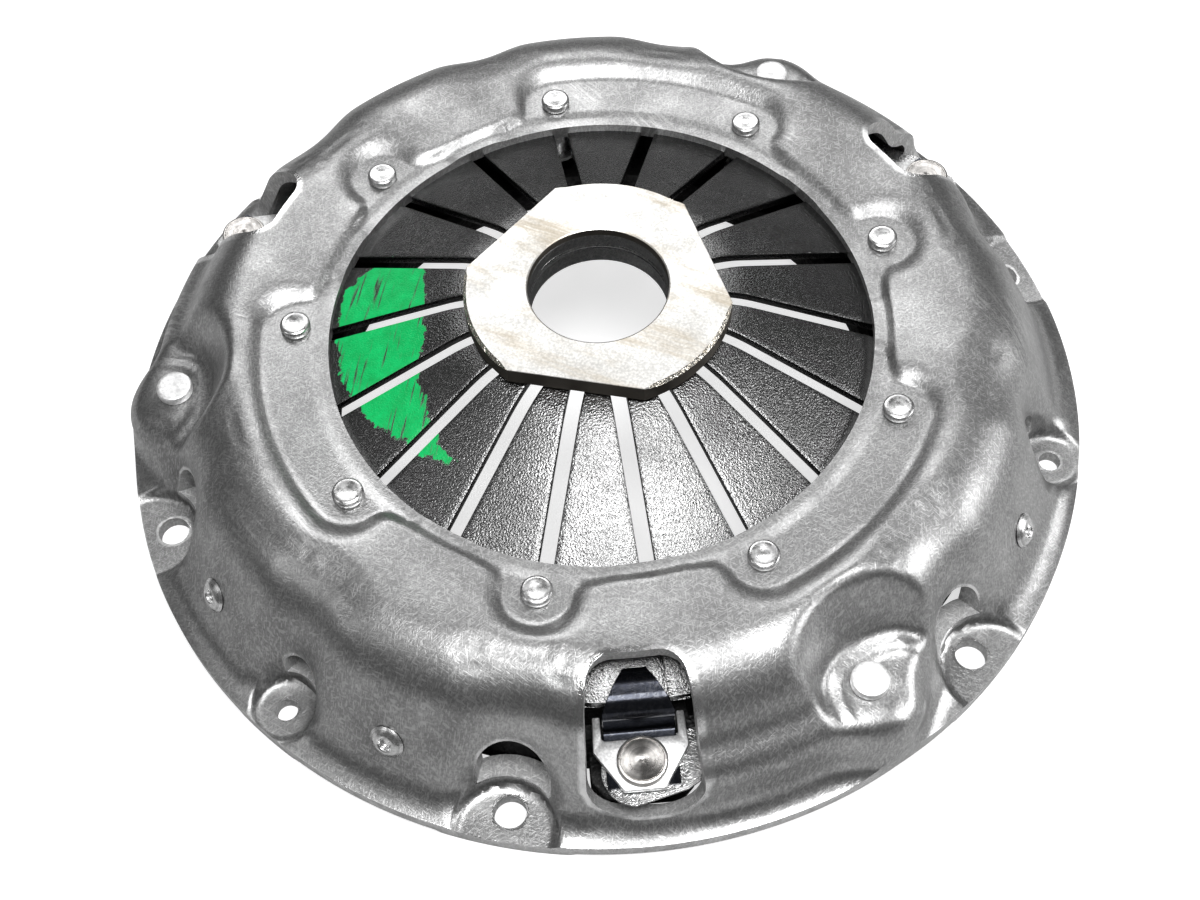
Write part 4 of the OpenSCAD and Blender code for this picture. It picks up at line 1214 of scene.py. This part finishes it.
# %% Lug feet
cast_iron = metal("cast_iron", grey(0.02), grey(0.06), 0.55, cloud_size=120.0, bump=1.0, grain_size=900.0,
                  cloudy=1.0, hairs=0.0)
FOOT_LOW, FOOT_TOP = 3.2, 11.6
foot_outline = rounded([(-7.5, -13.3), (1, -13.3), (4.8, -9.5), (4.8, 9.5), (1, 13.3), (-7.5, 13.3)],
                       [0.5, 2.5, 3, 3, 2.5, 0.5], 4)
for k in range(3):
    there = station(FIRST_WINDOW + 120 * k, LUG_R)
    foot_mesh = faced(mesh_of("lug_foot", [slab(foot_outline, FOOT_LOW, FOOT_TOP)], there))
    lug_foot = piece(f"lug_foot_{k + 1}", foot_mesh, None, cast_iron)
    softened(lug_foot, 0.8, 3)
    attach(lug_foot, "pressure_plate")

# %% [markdown]
# ## Release plate and sleeve
# The release bearing pushes on a plate with three flats. Its face was ground bright, and old oil has left
# tan stains that run along the grinding marks. The stains are a noise that is drawn out along the marks,
# and finer lines of another noise break them up.

# %% Ground steel
def ground_material():
    """A ground face with grinding marks and tan stains along them, and painted shade that makes the sides
    darker and browner.
    """
    mat = metal("ground_plate", (0.6, 0.59, 0.565, 1), (0.82, 0.815, 0.795, 1), 0.36, cloud_size=90.0,
                cloudy=0.9, bump=0.03, hairs=0.1, rough_swing=0.07)
    tree = mat.node_tree
    shader = tree.nodes["Principled BSDF"]
    where = place(tree, "ShaderNodeTexCoord").outputs["Object"]
    along = place(tree, "ShaderNodeMapping", {"vector_type": "TEXTURE"}, Vector=where,
                  Rotation=(0, 0, math.radians(-12)), Scale=(1 / 22, 1 / 95, 1 / 60))
    stain = place(tree, "ShaderNodeTexNoise", Vector=along.outputs[0], Scale=1.0, Detail=5.0, Roughness=0.62)
    fine_along = place(tree, "ShaderNodeMapping", {"vector_type": "TEXTURE"}, Vector=where,
                       Rotation=(0, 0, math.radians(-12)), Scale=(1 / 120, 1 / 2600, 1 / 900))
    lines = place(tree, "ShaderNodeTexNoise", Vector=fine_along.outputs[0], Scale=1.0, Detail=3.0)
    broken = times(tree, spread(tree, stain.outputs["Fac"], 0.47, 0.66),
                   spread(tree, lines.outputs["Fac"], 0.3, 0.6, 0.45, 1.0))
    base = shader.inputs["Base Color"].links[0].from_socket
    stained = blend_colour(tree, times(tree, broken, 0.62), base, (0.46, 0.38, 0.26, 1))
    up = place(tree, "ShaderNodeSeparateXYZ", Vector=place(tree, "ShaderNodeNewGeometry").outputs["Normal"])
    # Faces turned away from up get a dark brownish tone that varies with the stain noise: painted shade.
    side = spread(tree, up.outputs["Z"], 0.6, 0.25)
    shaded_side_tone = blend_colour(tree, stain.outputs["Fac"], (0.075, 0.066, 0.055, 1), (0.17, 0.155, 0.135, 1))
    tree.links.new(blend_colour(tree, side, stained, shaded_side_tone), shader.inputs["Base Color"])
    rough = shader.inputs["Roughness"].links[0].from_socket
    rough = plus(tree, rough, times(tree, side, 0.15))
    tree.links.new(plus(tree, rough, times(tree, broken, 0.14)), shader.inputs["Roughness"])
    relief = place(tree, "ShaderNodeBump", Height=lines.outputs["Fac"], Strength=0.2, Distance=0.00006,
                   Normal=shader.inputs["Normal"].links[0].from_socket)
    tree.links.new(relief.outputs[0], shader.inputs["Normal"])
    return mat


ground = ground_material()
hammered = metal("hammered_chamfer", (0.3, 0.26, 0.2, 1), (0.8, 0.77, 0.7, 1), 0.22, cloud_size=500.0,
                 cloudy=1.0, bump=1.0, grain_size=1100.0, hairs=0.3)

# %% [markdown]
# The plate's section is carried round the axis like a lathe's, but its reach follows three flats and
# three arcs. The rounded sides have a broad hammered chamfer and the flats none. The sleeve is pressed in
# from below, up to a lip, so only its bore is seen.

# %% Release plate
PLATE_R, FLAT_R = 36.0, 31.2
PLATE_LOW, PLATE_TOP = (corner.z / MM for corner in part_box("release_plate"))
BORE_R, SLEEVE_R, LIP = 18.75, 22.5, 2.2
corner = math.degrees(math.acos(FLAT_R / PLATE_R))
plate_rings, chamfers = [], []
for k in range(3):
    middle = FIRST_BOLT + 120 * k
    flat_angles = [(middle + a, True) for a in np.linspace(-corner, corner, 25)]
    round_angles = [(middle + corner + a, False) for a in np.linspace(0, 120 - 2 * corner, 27)[1:-1]]
    for degrees, on_flat in flat_angles + round_angles:
        a = math.radians(degrees)
        reach = FLAT_R / math.cos(math.radians(degrees - middle)) if on_flat else PLATE_R
        into = 0 if on_flat else min(degrees - middle - corner, 120 - corner - (degrees - middle)) / 6
        edge = 0.14 + 0.72 * float(smooth_step(into))
        section = [(BORE_R + 0.5, PLATE_TOP), (BORE_R + 0.15, PLATE_TOP - 0.18), (BORE_R, PLATE_TOP - 0.6),
                   (BORE_R, PLATE_TOP - LIP), (SLEEVE_R, PLATE_TOP - LIP), (SLEEVE_R, PLATE_LOW),
                   (reach - 0.8, PLATE_LOW), (reach, PLATE_LOW + 0.8), (reach, PLATE_TOP - edge * 1.05),
                   (reach - edge, PLATE_TOP), (reach - edge - 0.5, PLATE_TOP)]
        plate_rings.append([(r * math.cos(a), r * math.sin(a), z) for r, z in section])
        chamfers.append(not on_flat and into > 0.2)
plate_mesh = faced(grid_mesh("release_plate", plate_rings))
release = piece("release_plate_ground", plate_mesh, None, ground, 20)
release.data.materials.append(hammered)
per_ring = len(plate_rings[0])
for number, polygon in enumerate(release.data.polygons):
    if number % per_ring == 8 and chamfers[number // per_ring]:
        polygon.material_index = 1
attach(release, "release_plate")
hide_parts("release_plate")
print("release plate:", len(plate_mesh.polygons), "faces")

# %% [markdown]
# The sleeve's bore has a groove, and in it sits the wire ring that holds the release bearing.

# %% Sleeve
sleeve_steel = add_rings(metal("sleeve_steel", grey(0.2), grey(0.36), 0.4, cloud_size=80.0, bump=0.1,
                               hairs=0.12), 0.0008, 0.3)
LOW, GROOVE_Z, GROOVE_R = 44.8, 51.2, 20.6
sleeve_section = [(BORE_R, LOW + 0.4), (BORE_R + 0.4, LOW), (SLEEVE_R - 0.6, LOW),
                  (SLEEVE_R - 0.1, LOW + 0.5), (SLEEVE_R - 0.1, PLATE_TOP - LIP),
                  (BORE_R + 0.2, PLATE_TOP - LIP),
                  (BORE_R, PLATE_TOP - LIP - 0.3), (BORE_R, GROOVE_Z + 0.95), (GROOVE_R, GROOVE_Z + 0.95),
                  (GROOVE_R, GROOVE_Z - 0.95), (BORE_R, GROOVE_Z - 0.95)]
sleeve_mesh = faced(mesh_of("guide_sleeve", [ring_part(sleeve_section, 128)]))
piece("guide_sleeve", sleeve_mesh, "release_plate", sleeve_steel, 30, "release_sleeve")
print("sleeve:", len(sleeve_mesh.polygons), "faces")

# %% [markdown]
# Five of the CAD model's own pieces are plain or hidden, so they stay and only get a finish. The cast
# plate is rough all over but for its friction face, which was turned on a lathe. One material can show
# both by height, because the face is the lowest part of the plate.


# %% The CAD nodes that stay
def add_machined_face(mat):
    """Gives the cast plate its machined friction face: lighter, with turned rings, below 3 mm."""
    tree = mat.node_tree
    shader = tree.nodes["Principled BSDF"]
    where = place(tree, "ShaderNodeTexCoord").outputs["Object"]
    z = place(tree, "ShaderNodeSeparateXYZ", Vector=where).outputs["Z"]
    rings = place(tree, "ShaderNodeTexNoise", {"noise_dimensions": "1D"}, W=from_axis(tree, where),
                  Scale=1400.0, Detail=3.0)
    low = spread(tree, z, 0.0032, 0.003)
    base = shader.inputs["Base Color"].links[0].from_socket
    turned_tone = blend_colour(tree, rings.outputs[0], grey(0.2), grey(0.5))
    tree.links.new(blend_colour(tree, low, base, turned_tone), shader.inputs["Base Color"])
    rough = shader.inputs["Roughness"].links[0].from_socket
    tree.links.new(maths(tree, "SUBTRACT", rough, times(tree, low, 0.25)), shader.inputs["Roughness"])


add_machined_face(cast_iron)
wire = metal("drawn_wire", grey(0.3), grey(0.6), 0.3, cloud_size=300.0, bump=0.1, hairs=0.3)
kept = {"pressure_plate": cast_iron, "upper_fulcrum_ring": wire, "lower_fulcrum_ring": wire,
        "bearing_snap_ring": wire, "sleeve_retaining_ring": sleeve_steel}
for node, material in kept.items():
    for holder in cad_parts[node].material_slots:
        holder.material = material
print("CAD nodes with a new finish:", ", ".join(kept))
